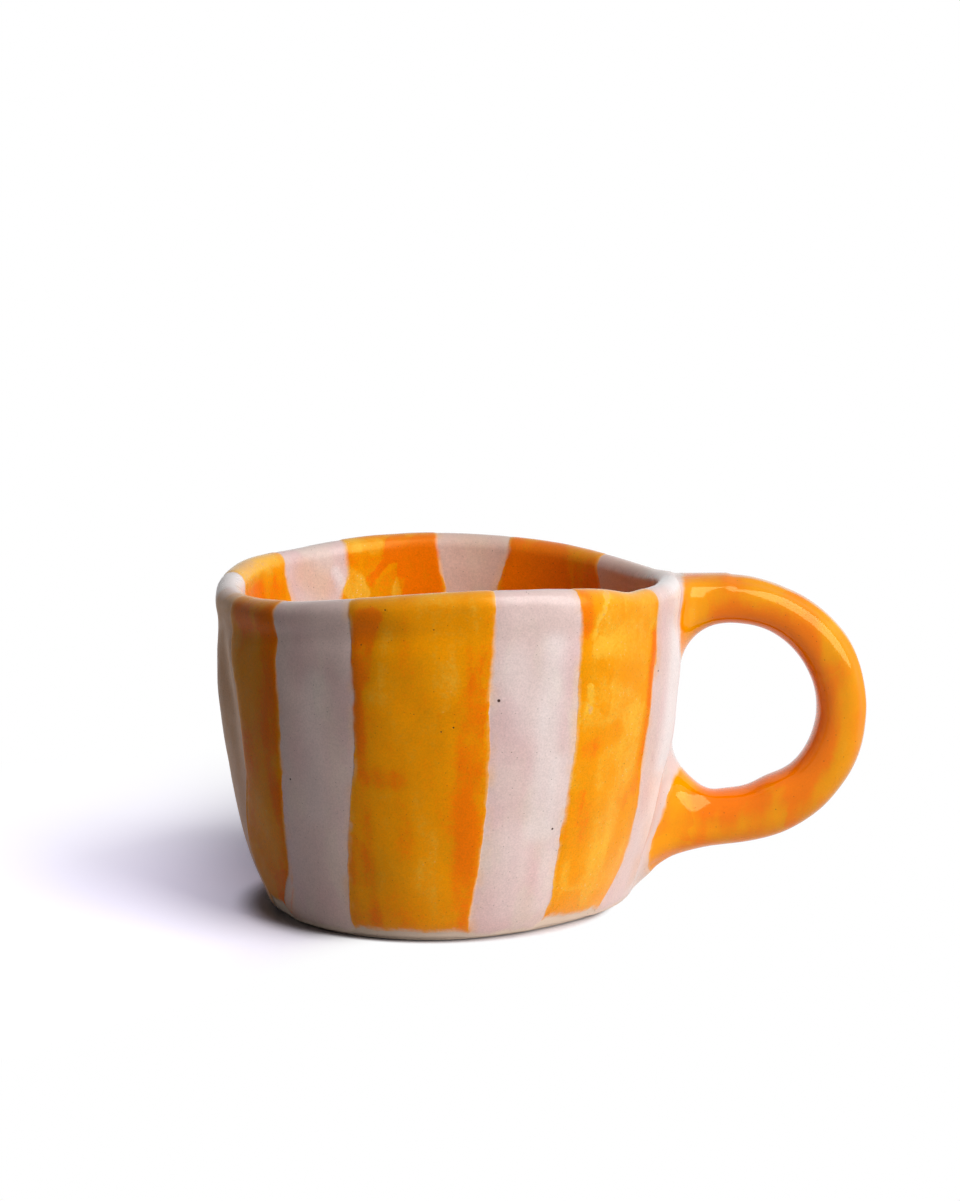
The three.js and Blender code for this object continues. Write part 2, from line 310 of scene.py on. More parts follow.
class CupSizes(bpy.types.PropertyGroup):
    mug_height: millimetres("Mug height", "Mean height of the lip above the table", 78)
    rim_radius: millimetres("Rim radius", "Outside radius at the lip", 53.3)
    foot_radius: millimetres("Foot radius", "Mean radius of the flat foot", 39)
    wall_thickness: millimetres("Wall thickness", "Clay and both coats of glaze", 6.2)
    floor_thickness: millimetres("Floor thickness", "Clay and the glaze on it", 7)
    corner_radius: millimetres("Corner radius", "Rounding between wall and floor inside", 8)
    rim_wave: millimetres("Rim wave", "How far the lip leaves its mean height", 4)
    foot_wave: millimetres("Foot wave", "How far the foot leaves a circle", 3.4)
    notch_depth: millimetres("Notch depth", "Dent that a fingertip left in the lip", 0.9)
    foot_rounding: millimetres("Foot rounding", "Radius of the worn edge of the foot", 0.65)
    coat_thickness: millimetres("Coat thickness", "One fired coat of glaze", 0.3)
    hem_thickness: millimetres("Hem thickness", "Thickness of a coat where it stops above the foot", 0.14)
    stripe_relief: millimetres("Stripe relief", "How much the orange stands above the pink", 0.1)
    groove_depth: millimetres("Groove depth", "Hollow under the lip, where fingers squeezed it", 0.34)
    hand_wave: millimetres("Hand wave", "Soft unevenness of the pinched wall", 0.65)
    belly: FloatProperty(
        name="Belly", description="Roundness of the wall from foot to lip", default=0.6, min=0.3, max=1
    )
    notch_angle: degrees("Notch angle", "Where the dent in the lip is", 322)
    notch_spread: degrees("Notch spread", "Half width of the dent in the lip", 7)


class HandleSizes(bpy.types.PropertyGroup):
    coil_thickness: millimetres("Coil thickness", "Thickness in the plane of the ring", 11.2)
    coil_width: millimetres("Coil width", "Width across the ring", 13)
    coil_swell: millimetres("Coil swell", "How much thicker the coil ends at the foot", 2.8)
    root_drop: millimetres("Upper root drop", "Centre of the ring's top below the mean lip", 7.3)
    root_height: millimetres("Lower root height", "Centre of the ring's bottom above the table", 19.9)
    ring_standoff: millimetres("Ring standoff", "Centre of the ring outside the lip radius", 11.3)
    coil_wave: millimetres("Coil wave", "Unevenness of the rolled coil", 0.3)


def linear(shown):
    """The light in a colour that is given as it looks on a screen, from 0 to 255."""
    return ((shown / 255 + 0.055) / 1.055) ** 2.4 if shown > 10 else shown / 255 / 12.92


def glaze_colour(name, description, *shown):
    """A colour of the panel, given as it looks on a screen, from 0 to 255."""
    default = [linear(part) for part in shown]
    return FloatVectorProperty(
        name=name, description=description, default=default, subtype="COLOR", min=0, max=1
    )


class GlazeColours(bpy.types.PropertyGroup):
    amber: glaze_colour("Amber", "The orange glaze at its usual thickness", 249, 156, 0)
    deep: glaze_colour("Deep orange", "The orange glaze where two brush laps cross", 248, 122, 0)
    bare_wash: glaze_colour("Bare wash", "A wash of orange so thin that clay shows", 226, 170, 118)
    thin: glaze_colour("Thin orange", "The orange glaze where the brush ran dry", 250, 186, 52)
    ochre: glaze_colour("Ochre", "Clouds in the orange glaze", 226, 150, 6)
    peach: glaze_colour("Peach", "Where orange has bled into pink", 250, 196, 140)
    pink: glaze_colour("Pink", "The pale grey pink glaze", 228, 202, 197)
    milk: glaze_colour("Milk", "White streaks in the pink glaze", 242, 232, 230)
    rose: glaze_colour("Rose", "Warmer clouds in the pink glaze", 226, 190, 190)
    cream: glaze_colour("Cream", "Paler clouds in the pink glaze", 228, 210, 198)
    clay: glaze_colour("Clay", "Bare fired clay", 240, 222, 205)
    iron: glaze_colour("Iron", "Dark specks burnt through the glaze", 62, 36, 24)


class StudioSettings(bpy.types.PropertyGroup):
    key_power: FloatProperty(
        name="Key power", description="Soft lamp on the right", default=19.4, min=0, unit="POWER"
    )
    key_turn: degrees("Key turn", "Direction of the lamp round the mug, from the handle", -38)
    key_height: degrees("Key height", "Direction of the lamp above the table", 36)
    key_distance: millimetres("Key distance", "Lamp to mug", 1250)
    key_width: millimetres("Key width", "Level side of the soft lamp", 900)
    key_drop: millimetres("Key drop", "Other side of the soft lamp", 1300)
    fill: FloatProperty(name="Fill", description="Light from all round", default=0.016, min=0)
    camera_distance: millimetres("Camera distance", "Lens to the middle of the mug", 800)
    focal_length: FloatProperty(
        name="Focal length", description="Of the lens, on a 36 mm frame", default=104.9, min=1
    )
    tilt: degrees("Tilt", "How far the camera looks down", 8.8)


class Cup:
    """The cup's form in millimetres, worked out from the sizes in the panel."""

    def __init__(self, sizes):
        for name, kind in CupSizes.__annotations__.items():
            is_length = kind.keywords.get("unit") == "LENGTH"
            setattr(self, name, getattr(sizes, name) / (MM if is_length else 1))
        self.lip_radius = self.wall_thickness / 2
        self.lip_start = self.mug_height - self.lip_radius
        self.lip_length = math.pi * self.lip_radius
        self.inside_start = self.lip_start + self.lip_length
        self.inside_depth = self.lip_start - self.floor_thickness - self.corner_radius
        self.corner_start = self.inside_start + self.inside_depth
        self.floor_start = self.corner_start + self.corner_radius * math.pi / 2

    def lip_height(self, angle):
        away = turned_by(angle, self.notch_angle)
        notch = self.notch_depth * np.exp(-((away / self.notch_spread) ** 2))
        return self.mug_height + self.rim_wave * clock(RIM_LIFT_SHARES, angle) - notch

    def outer_radius(self, angle, z):
        foot = self.foot_radius + self.foot_wave * clock(FOOT_REACH_SHARES, angle)
        h = np.clip(z / self.lip_height(angle), 0, 1)
        return foot + (self.rim_radius - foot) * (1 - (1 - h) ** 2) ** self.belly

    def place(self, angle, along):
        """The point so many millimetres along the wall from the table, over the lip and down inside."""
        top = self.lip_height(angle) - self.lip_radius
        low = self.floor_thickness + self.corner_radius
        z_out = np.clip(along / self.lip_start, 0, 1) * top
        bend = np.clip((along - self.lip_start) / self.lip_radius, 0, math.pi)
        down = np.clip((along - self.inside_start) / self.inside_depth, 0, 1)
        corner = np.clip((along - self.corner_start) / self.corner_radius, 0, math.pi / 2)
        lip = self.outer_radius(angle, top) - self.lip_radius + self.lip_radius * np.cos(bend)
        z_in = top + (low - top) * down
        outside = np.where(along <= self.lip_start, self.outer_radius(angle, z_out), lip)
        inside = self.outer_radius(angle, z_in) - self.wall_thickness
        inside = inside - self.corner_radius * (1 - np.cos(corner))
        radius = np.where(along <= self.inside_start, outside, inside)
        z_lip = z_out + self.lip_radius * np.sin(bend)
        z_corner = z_in - self.corner_radius * np.sin(corner)
        z = np.where(along <= self.inside_start, z_lip, z_corner)
        return np.stack([radius * np.cos(angle), radius * np.sin(angle), z], axis=-1)

    def edge_angle(self, edge, along):
        """The angle of a coat's edge at a distance along the wall."""
        mean, outside, inside = COAT_EDGES[edge % COATS]
        stations = [share * self.lip_start for share in OUTSIDE_SHARES]
        stations += [self.inside_start + share * self.inside_depth for share in INSIDE_SHARES]
        stray = np.interp(along, stations, outside + inside)
        return np.radians(mean + stray) + TURN * (edge // COATS)


def eased(values, passes=3):
    """The values with their corners rounded off."""
    for _ in range(passes):
        padded = np.concatenate([values[:1], values, values[-1:]])
        values = (padded[:-2] + 2 * padded[1:-1] + padded[2:]) / 4
    return values


class CupGrid:
    """Rows along the cup's section and columns that follow the edges of the coats."""

    def __init__(self, cup):
        self.cup = cup
        self.rows()
        self.columns()
        self.hems()
        self.points()
        self.attributes()
        self.surfaces()

    def rows(self):
        """Millimetres along the wall at each glazed row, from the hem to the edge of the floor."""
        cup = self.cup
        outside = np.linspace(0, cup.lip_start, OUTSIDE_ROWS + 1)[:-1]
        lip = cup.lip_start + np.linspace(0, cup.lip_length, LIP_ROWS + 1)[:-1]
        inside = cup.inside_start + np.linspace(0, cup.inside_depth, INSIDE_ROWS + 1)[:-1]
        corner = np.linspace(cup.corner_start, cup.floor_start, CORNER_ROWS + 1)
        self.glazed_along = np.concatenate([outside, lip, inside, corner])

    def columns(self):
        """Angles of the columns at every row of the wall, and the coat of each column of faces."""
        along = self.glazed_along
        edges = [eased(self.cup.edge_angle(k, along)) for k in range(COATS + 1)]
        angles, self.coat = [], []
        for k in range(COATS):
            count = round(math.degrees(edges[k + 1].mean() - edges[k].mean()) * COLUMNS_PER_DEGREE)
            count += count % CLAY_STRIDE
            shares = np.arange(count) / count
            angles.append(edges[k][:, None] + (edges[k + 1] - edges[k])[:, None] * shares)
            self.coat += [k] * count
        self.coat = np.array(self.coat)
        self.angle = np.concatenate(angles, axis=1)
        self.edges = edges

    def hems(self):
        """Height of the row at which the coats stop, ragged, and different from coat to coat."""
        angle = self.angle[0]
        hem = np.array(HEM_HEIGHTS, float)[self.coat]
        for _ in range(2):
            hem = (np.roll(hem, 1) + 2 * hem + np.roll(hem, -1)) / 4
        circle = np.stack([np.cos(angle), np.sin(angle), 0 * angle], -1) * self.cup.foot_radius
        self.hem_height = hem + 0.55 * ripple(circle, 5, 3) + 0.35 * ripple(circle, 2, 8)

    def points(self):
        """The nominal surface, with the glaze on it."""
        cup = self.cup
        foot_angle = self.angle[0]
        shift = self.hem_height[None, :] * (1 - np.clip(self.glazed_along / cup.lip_start, 0, 1))[:, None]
        self.along = self.glazed_along[:, None] + shift
        wall = cup.place(self.angle, self.along)
        rounding = cup.foot_rounding
        bend = np.linspace(0, math.pi / 2, FOOT_ROWS // 2 + 1)[:, None]
        foot_radius = cup.outer_radius(foot_angle, 0 * foot_angle)[None, :]
        worn_r = foot_radius - rounding + rounding * np.sin(bend)
        worn_z = rounding * (1 - np.cos(bend)) + 0 * foot_radius
        rise_shares = np.linspace(0, 1, FOOT_ROWS - FOOT_ROWS // 2 + 1)[1:-1, None]
        rise_z = rounding + (self.hem_height[None, :] - rounding) * rise_shares
        rise_r = cup.outer_radius(foot_angle[None, :], rise_z)
        radius = np.concatenate([worn_r, rise_r])
        height = np.concatenate([worn_z, rise_z])
        foot = np.stack([radius * np.cos(foot_angle), radius * np.sin(foot_angle), height], -1)
        under_shares = np.linspace(0, 1, UNDER_ROWS + 1)[1:-1, None, None]
        under = foot[0] * under_shares
        floor_shares = np.linspace(1, 0, FLOOR_ROWS + 1)[1:-1, None, None]
        floor_middle = np.array([0, 0, cup.floor_thickness])
        floor = floor_middle + (wall[-1] - floor_middle) * floor_shares
        self.nominal = np.concatenate([under, foot, wall, floor])
        self.wall_from = len(under) + len(foot)
        self.wall_to = self.wall_from + len(wall)
        rows = len(self.nominal)
        self.all_angle = np.broadcast_to(foot_angle, (rows, len(foot_angle))).copy()
        self.all_angle[self.wall_from:self.wall_to] = self.angle
        self.all_angle[self.wall_to:] = self.angle[-1]
        self.all_along = np.zeros((rows, len(foot_angle)))
        self.all_along[len(under):self.wall_from] = height
        self.all_along[self.wall_from:self.wall_to] = self.along
        floor_run = np.linalg.norm(wall[-1] - floor_middle, axis=-1)[None, :]
        self.all_along[self.wall_to:] = cup.floor_start + floor_run * (1 - floor_shares[..., 0])

    def attributes(self):
        """What the glaze needs: millimetres from a coat's edge, from its hem and inside each brush lap."""
        rows, count = self.nominal.shape[:2]
        radius = np.hypot(self.nominal[..., 0], self.nominal[..., 1])
        near = np.full((rows, count), FAR)
        along_rows = np.clip(self.all_along[:, 0], 0, self.glazed_along[-1])
        for k in range(COATS + 1):
            edge = np.interp(along_rows, self.glazed_along, self.edges[k])[:, None]
            near = np.minimum(near, np.abs(turned_by(self.all_angle, edge)) * radius)
        orange = (self.coat % 2 == 0)[None, :]
        on_edge = near < 1e-6
        to_floor = self.cup.floor_start - self.all_along
        signed = np.where(orange, np.minimum(near, to_floor), -near)
        signed = np.where(to_floor < 0, to_floor, signed)
        self.edge = np.where(on_edge, 0, signed)
        self.hem = np.clip(self.all_along - self.hem_height[None, :], OFF_LAP, CLEAR_OF_HEM)
        self.deep = self.lap_field(DEEP_LAPS, radius)
        self.thin = self.lap_field(THIN_LAPS, radius)
        self.load = self.passes(SOFT_PASSES, radius)
        self.wash = self.passes(WASH_PASSES, radius)
        crest = self.cup.lip_start + self.cup.lip_length / 2
        self.crest = np.exp(-(((self.all_along - crest) / CREST_SPREAD) ** 2))

    def passes(self, passes, radius):
        """The sum of soft brush passes at each point, which fade out over their edges."""
        total = np.zeros(self.all_angle.shape)
        for *lap, width, weight in passes:
            inside = self.lap_field([(*lap, width)], radius)
            total += weight * smooth(inside, -0.3 * width, 0.35 * width)
        return total

    def lap_field(self, laps, radius):
        """Millimetres that each point lies inside the nearest brush lap, or below zero outside all."""
        field = np.full(self.all_angle.shape, OFF_LAP)
        for start, low, end, high, width in laps:
            x = turned_by(self.all_angle, math.radians(start)) * radius
            y = self.all_along - low
            run_x = turned_by(math.radians(end), math.radians(start)) * radius
            run_y = high - low
            square = np.maximum(run_x**2 + run_y**2, 1e-9)
            share = np.clip((x * run_x + y * run_y) / square, 0, 1)
            gap = np.hypot(x - run_x * share, y - run_y * share)
            field = np.maximum(field, width / 2 - gap)
        return field

    def surfaces(self):
        """The fired clay, and the surface of the glaze on it."""
        cup = self.cup
        normal = normals_of(self.nominal)
        below_lip = 1 - smooth(self.all_along, cup.lip_start - 2, cup.lip_start + 4)
        outside = smooth(self.all_along, 1, 6) * below_lip
        on_lip = np.exp(-(((self.all_along - cup.lip_start - cup.lip_length / 2) / LIP_SPREAD) ** 2))
        inside = smooth(self.all_along, cup.inside_start, cup.inside_start + 8)
        relief = 0 * self.all_along
        for size, seed, share, lip_share in HAND_WAVES:
            where = outside + inside + lip_share * on_lip
            relief += share * cup.hand_wave * ripple(self.nominal, size, seed) * where
        for angle, height, half_width, half_height, depth in DENTS:
            x = turned_by(self.all_angle, math.radians(angle)) * cup.rim_radius / half_width
            y = (self.all_along - height) / half_height
            relief -= depth * np.exp(-(x**2) - y**2) * outside
        groove = np.exp(-(((self.all_along - cup.lip_start + GROOVE_DROP) / GROOVE_SPREAD) ** 2))
        relief -= groove * cup.groove_depth * (1 + 0.9 * ripple(self.nominal, 22, 9))
        self.clay = self.nominal + normal * (relief - cup.coat_thickness)[..., None]
        thicker = cup.coat_thickness - cup.hem_thickness
        coat = cup.hem_thickness + thicker * smooth(self.hem, 0, 1.6)
        coat += cup.stripe_relief * smooth(self.edge, -0.3, 0.9) * smooth(self.hem, 0, 1.2)
        # A fine furrow where two coats meet, and a ridge where a lap ends
        coat -= 0.06 * np.exp(-((self.edge / 0.7) ** 2)) * (self.all_along < cup.floor_start)
        coat += 0.05 * smooth(self.deep, -0.3, 0.5)
        self.glaze = self.clay + normal * coat[..., None]


def skin_faces(rows, columns, first_middle=None, last_middle=None):
    """Faces of a grid that closes round its columns, with a fan to a middle point at either end."""
    here = np.arange(columns)
    beside = (here + 1) % columns
    start = np.arange(rows - 1)[:, None] * columns
    corners = [start + here, start + beside, start + beside + columns, start + here + columns]
    faces = np.stack(corners, -1).reshape(-1, 4).tolist()
    pairs = list(zip(here.tolist(), beside.tolist()))
    if first_middle is not None:
        faces += [[first_middle, b, a] for a, b in pairs]
    if last_middle is not None:
        last = (rows - 1) * columns
        faces += [[last_middle, last + a, last + b] for a, b in pairs]
    return faces


def new_mesh(name, points, faces, attributes=()):
    """A mesh in metres from points in millimetres, with smooth faces and named numbers on its points."""
    mesh = bpy.data.meshes.new(name)
    mesh.from_pydata((np.asarray(points) * MM).tolist(), [], [list(face) for face in faces])
    mesh.polygons.foreach_set("use_smooth", [True] * len(mesh.polygons))
    for title, values in dict(attributes).items():
        values = np.asarray(values, np.float32)
        kind = "FLOAT" if values.ndim == 1 else "FLOAT_VECTOR"
        layer = mesh.attributes.new(title, kind, "POINT")
        layer.data.foreach_set("value" if values.ndim == 1 else "vector", values.ravel())
    mesh.update()
    return mesh


def new_object(name, mesh):
    """An object of the scene, at the origin."""
    piece = bpy.data.objects.new(name, mesh)
    bpy.context.scene.collection.objects.link(piece)
    return piece


class Value:
    """A number or colour on its way through the nodes, which can be used in a sum."""

    def __init__(self, nodes, socket):
        self.nodes = nodes
        self.socket = socket

    def __add__(self, other):
        return self.nodes.maths("ADD", self, other)

    def __radd__(self, other):
        return self.nodes.maths("ADD", other, self)

    def __sub__(self, other):
        return self.nodes.maths("SUBTRACT", self, other)

    def __rsub__(self, other):
        return self.nodes.maths("SUBTRACT", other, self)

    def __mul__(self, other):
        return self.nodes.maths("MULTIPLY", self, other)

    def __rmul__(self, other):
        return self.nodes.maths("MULTIPLY", other, self)

    def __truediv__(self, other):
        return self.nodes.maths("DIVIDE", self, other)

    def __rtruediv__(self, other):
        return self.nodes.maths("DIVIDE", other, self)


class Nodes:
    """A node tree that is written as Python expressions."""

    def __init__(self, tree):
        self.tree = tree

    def add(self, kind, settings=(), out=0, **inputs):
        """One node: its settings, then a value or link for each socket, and the output that is wanted."""
        node = self.tree.nodes.new(kind)
        for name, value in dict(settings).items():
            setattr(node, name, value)
        for name, value in inputs.items():
            sockets = [s for s in node.inputs if name in (s.identifier, s.name.replace(" ", "_"))]
            if isinstance(value, Value):
                self.tree.links.new(value.socket, sockets[0])
            else:
                sockets[0].default_value = value
        if not node.outputs:
            return None
        return Value(self, node.outputs[out])

    def other(self, value, out):
        """Another output of the node that a value comes from."""
        return Value(self, value.socket.node.outputs[out])

    def maths(self, operation, a, b=0.0):
        return self.add("ShaderNodeMath", {"operation": operation}, Value=a, Value_001=b)

    def least(self, a, b):
        return self.maths("MINIMUM", a, b)

    def most(self, a, b):
        return self.maths("MAXIMUM", a, b)

    def step(self, value, low, high, top=1.0):
        """0 at low and top at high, with an easy curve between them; low may be the larger."""
        settings = {"interpolation_type": "SMOOTHSTEP", "clamp": True}
        return self.add(
            "ShaderNodeMapRange", settings, Value=value, From_Min=low, From_Max=high, To_Min=0.0, To_Max=top
        )

    def blend(self, factor, a, b):
        """Colour a where the factor is 0 and colour b where it is 1."""
        settings = {"data_type": "RGBA", "clamp_factor": True}
        return self.add("ShaderNodeMix", settings, out=2, Factor_Float=factor, A_Color=a, B_Color=b)

    def attribute(self, name):
        return self.add("ShaderNodeAttribute", {"attribute_name": name}, out="Fac")

    def vector(self, operation, *vectors, **more):
        """A vector sum of up to three vectors."""
        out = "Value" if operation in ("LENGTH", "DISTANCE", "DOT_PRODUCT") else "Vector"
        inputs = dict(zip(("Vector", "Vector_001", "Vector_002"), vectors))
        return self.add("ShaderNodeVectorMath", {"operation": operation}, out, **inputs, **more)

    def place(self):
        """Object coordinates in millimetres."""
        return self.vector("SCALE", self.add("ShaderNodeTexCoord", out="Object"), Scale=1 / MM)

    def stretched(self, place, size, stretch, shift):
        """Coordinates in which a feature of that size and stretch is 1 long."""
        scale = [1 / (size * part) for part in stretch]
        return self.vector("MULTIPLY_ADD", place, scale, (shift, shift, shift))

    def grain(self, place, size, detail=2.0, stretch=(1, 1, 1), shift=0.0):
        """Noise from 0 to 1 with features of about that many millimetres."""
        vector = self.stretched(place, size, stretch, shift)
        return self.add("ShaderNodeTexNoise", Vector=vector, Scale=1.0, Detail=detail, Roughness=0.55)

    def cells(self, place, size, stretch=(1, 1, 1), shift=0.0):
        """Distance to the middle of the nearest cell, in cells, and a number of that cell's own."""
        vector = self.stretched(place, size, stretch, shift)
        distance = self.add("ShaderNodeTexVoronoi", Vector=vector, Scale=1.0)
        colour = self.other(distance, "Color")
        return distance, self.add("ShaderNodeSeparateColor", Color=colour)

    def specks(self, place, size, radius, share, shift=0.0):
        """Round specks of a radius in millimetres, in a share of the cells."""
        distance, number = self.cells(place, size, shift=shift)
        dot = self.step(distance, radius / size * 1.4, radius / size * 0.7)
        return dot * self.step(number, 1 - share, 1 - share + 0.02)


def opaque(colour):
    """A colour of the panel as a node socket takes it."""
    return (*colour, 1)


def new_material(name):
    """An empty material, and its nodes."""
    material = bpy.data.materials.new(name)
    material.use_nodes = True
    material.node_tree.nodes.clear()
    return material, Nodes(material.node_tree)


def finish_material(nodes, **inputs):
    """The shader at the end of a material: what varies is linked, and the rest is set on its sockets."""
    shader = nodes.add("ShaderNodeBsdfPrincipled", **inputs)
    nodes.add("ShaderNodeOutputMaterial", Surface=shader)


def bumped(nodes, height, strength=1.0):
    """A normal from a height in millimetres."""
    return nodes.add("ShaderNodeBump", Strength=strength, Distance=MM, Height=height)


def glaze_material(name, colours, spots, gloss_tint, gloss, roughness, grit):
    """Orange and pink glaze that meet along a ragged edge, over bare clay at the hem."""
    material, n = new_material(name)
    hue = {title: opaque(getattr(colours, title)) for title in GlazeColours.__annotations__}
    place = n.place()
    edge, hem, deep_lap, thin_lap, hand_load, wash, crest = (n.attribute(name) for name in GLAZE_NUMBERS)

    # Where the orange stops beside the pink, and where both stop above the foot
    at = edge + (n.grain(place, 2.4) - 0.5) * 0.9 + (n.grain(place, 7, shift=4) - 0.5) * 1.5
    above = hem + (n.grain(place, 1.6, shift=9) - 0.5) * 1.6 + (n.grain(place, 5, shift=19) - 0.5) * 2.0
    soft = n.step(n.grain(place, 11, shift=2), 0.45, 0.62) * 0.6 + 0.14
    orange = n.step(at / soft, -1.0, 1.0) * n.step(above, -0.1, 0.25)
    covered = n.step(above, -0.5, 1.5)

    # How thick the orange lies: clouds, brush hairs, and the listed passes and laps
    cloud = n.grain(place, 20, detail=3, shift=11)
    hairs = n.grain(place, 2.6, detail=3, stretch=(1, 1, 7), shift=6)
    band = n.grain(place, 7, detail=2, stretch=(1, 1, 3), shift=16)
    drift = n.vector("SCALE", n.other(n.grain(place, 6, detail=3, shift=15), "Color"), Scale=7.0)
    patch = n.cells(n.vector("ADD", place, drift), 10, stretch=(1, 1, 1.7))[1]
    fray = (n.grain(place, 1.3, shift=21) - 0.5) * 1.4 + (n.grain(place, 4.5, shift=25) - 0.5) * 3.2
    blur = n.step(n.grain(place, 6, shift=27), 0.4, 0.6) * 0.9 + 0.2
    deep_mask = n.step((deep_lap + fray) / blur, -1.0, 1.0)
    thin_mask = n.step((thin_lap + fray) / blur, -1.0, 1.0)
    load = 0.47 + (cloud - 0.5) * 0.86 + (hairs - 0.5) * 0.3 + (band - 0.5) * 0.56
    load = load + n.step(patch, 0.6, 0.68, 0.14) + hand_load * ((band - 0.5) * 2.4 + 1.0)
    load = load + deep_mask * 0.4 - thin_mask * 0.42 - crest * 0.15
    load = load + n.step(at, 4.0, 1.0, 0.12) - n.step(at, 1.0, 0.0, 0.2)

    # Fine grain: pin prick specks, crystals and the sandy look of thin glaze
    fine = n.grain(place, 0.4, detail=1, shift=81)
    sand = n.grain(place, 0.75, detail=2, shift=85)
    mottle = n.grain(place, 2.2, detail=3, shift=91)
    grit = (1 - crest * 0.75) * grit
    grainy_load = load + ((sand - 0.5) * 0.55 + (mottle - 0.5) * 0.3) * grit
    thin_part = n.step(grainy_load, 0.5, 0.02)
    deep_part = n.step(grainy_load, 0.5, 1.0)

    ochre_cloud = n.step(n.grain(place, 13, detail=3, shift=31), 0.46, 0.66)
    tone = n.blend(ochre_cloud * 0.35, hue["amber"], hue["ochre"])
    tone = n.blend(thin_part, tone, hue["thin"])
    tone = n.blend(n.step(grainy_load, 0.05, -0.45), tone, hue["bare_wash"])
    tone = n.blend(deep_part, tone, hue["deep"])
    fringe = n.step(at, 1.0, -0.1) * n.step(n.grain(place, 5, shift=41), 0.4, 0.65, 0.6)
    tone = n.blend(fringe, tone, hue["peach"])
    tone = n.blend(crest * 0.07, tone, hue["peach"])

    # The pink: rosy and cream clouds, thin orange washes, milky streaks and orange that bled into it
    rosy = n.step(n.grain(place, 13, detail=3, stretch=(1, 1, 1.8), shift=51), 0.44, 0.64)
    creamy = n.step(n.grain(place, 9, detail=3, stretch=(1, 1, 2.4), shift=61), 0.48, 0.64)
    pale = n.blend(rosy * 0.6, hue["pink"], hue["rose"])
    pale = n.blend(creamy * 0.6, pale, hue["cream"])
    ragged = (hairs - 0.5) * 0.2 + 1.0
    pale = n.blend(wash * ragged, pale, hue["bare_wash"])
    pale = n.blend(wash * ragged * -0.8, pale, hue["milk"])
    bleed = n.step(at, -2.4, 0.3) * n.step(n.grain(place, 8, shift=71), 0.45, 0.7, 0.5)
    pale = n.blend(bleed, pale, hue["peach"])

    colour = n.blend(orange, pale, tone)
    colour = n.blend(1 - covered, colour, hue["clay"])
    shade = 1 + ((fine - 0.5) * 0.4 + (sand - 0.5) * 0.16 + (mottle - 0.5) * 0.14) * grit
    tint = n.add("ShaderNodeCombineColor", Red=shade, Green=shade, Blue=shade)
    settings = {"data_type": "RGBA", "blend_type": "MULTIPLY"}
    colour = n.add("ShaderNodeMix", settings, out=2, Factor_Float=1.0, A_Color=colour, B_Color=tint)

    # Pale crystals in thin orange, and iron that burnt through
    crystals = n.specks(place, 0.9, 0.14, 0.45, shift=3) * thin_part * 0.4 * orange
    colour = n.blend(crystals, colour, (1, 0.86, 0.6, 1))
    dust = n.specks(place, 1.5, 0.12, 0.6, shift=13) * 0.42
    iron = n.most(n.specks(place, 3.6, 0.12, 0.4, shift=5), n.specks(place, 9, 0.2, 0.4, shift=17))
    iron = n.most(iron * 0.7, dust)
    for spot, radius in spots:
        iron = n.most(iron, n.step(n.vector("DISTANCE", place, spot), radius * 1.25, radius * 0.7))
    colour = n.blend(iron, colour, hue["iron"])

    peel = n.grain(place, 1.3, shift=23) * 0.012 + fine * 0.004
    height = peel + hairs * 0.02 * orange + orange * 0.05 + deep_mask * 0.012 - iron * 0.05 + covered * 0.08
    rough = roughness + (mottle - 0.5) * roughness * 0.6 + (1 - covered) * 0.4 - crest * roughness * 0.5
    rough = rough + n.step(wash, 0.2, 1.0, 0.1)
    finish_material(
        n,
        Base_Color=colour,
        Roughness=rough,
        Specular_IOR_Level=gloss,
        Specular_Tint=gloss_tint,
        Normal=bumped(n, height),
    )
    return material


def clay_material(colours):
    """Bare fired stoneware: matt, grainy and a little grubby at the edge of the foot."""
    material, n = new_material("Bare clay")
    place = n.place()
    cloud = n.grain(place, 12, detail=3)
    sand = n.grain(place, 0.5, detail=2, shift=7)
    clay = opaque(colours.clay)
    dark = opaque([0.8 * part for part in colours.clay])
    colour = n.blend(n.step(cloud, 0.4, 0.7) * 0.35, clay, dark)
    colour = n.blend(n.step(sand, 0.55, 0.75) * 0.35, colour, dark)
    iron = n.specks(place, 2.6, 0.12, 0.4)
    colour = n.blend(iron * 0.7, colour, opaque(colours.iron))
    height = sand * 0.05 + n.grain(place, 3, shift=3) * 0.06 - iron * 0.04
    finish_material(n, Base_Color=colour, Roughness=0.82 + (cloud - 0.5) * 0.1, Normal=bumped(n, height))
    return material


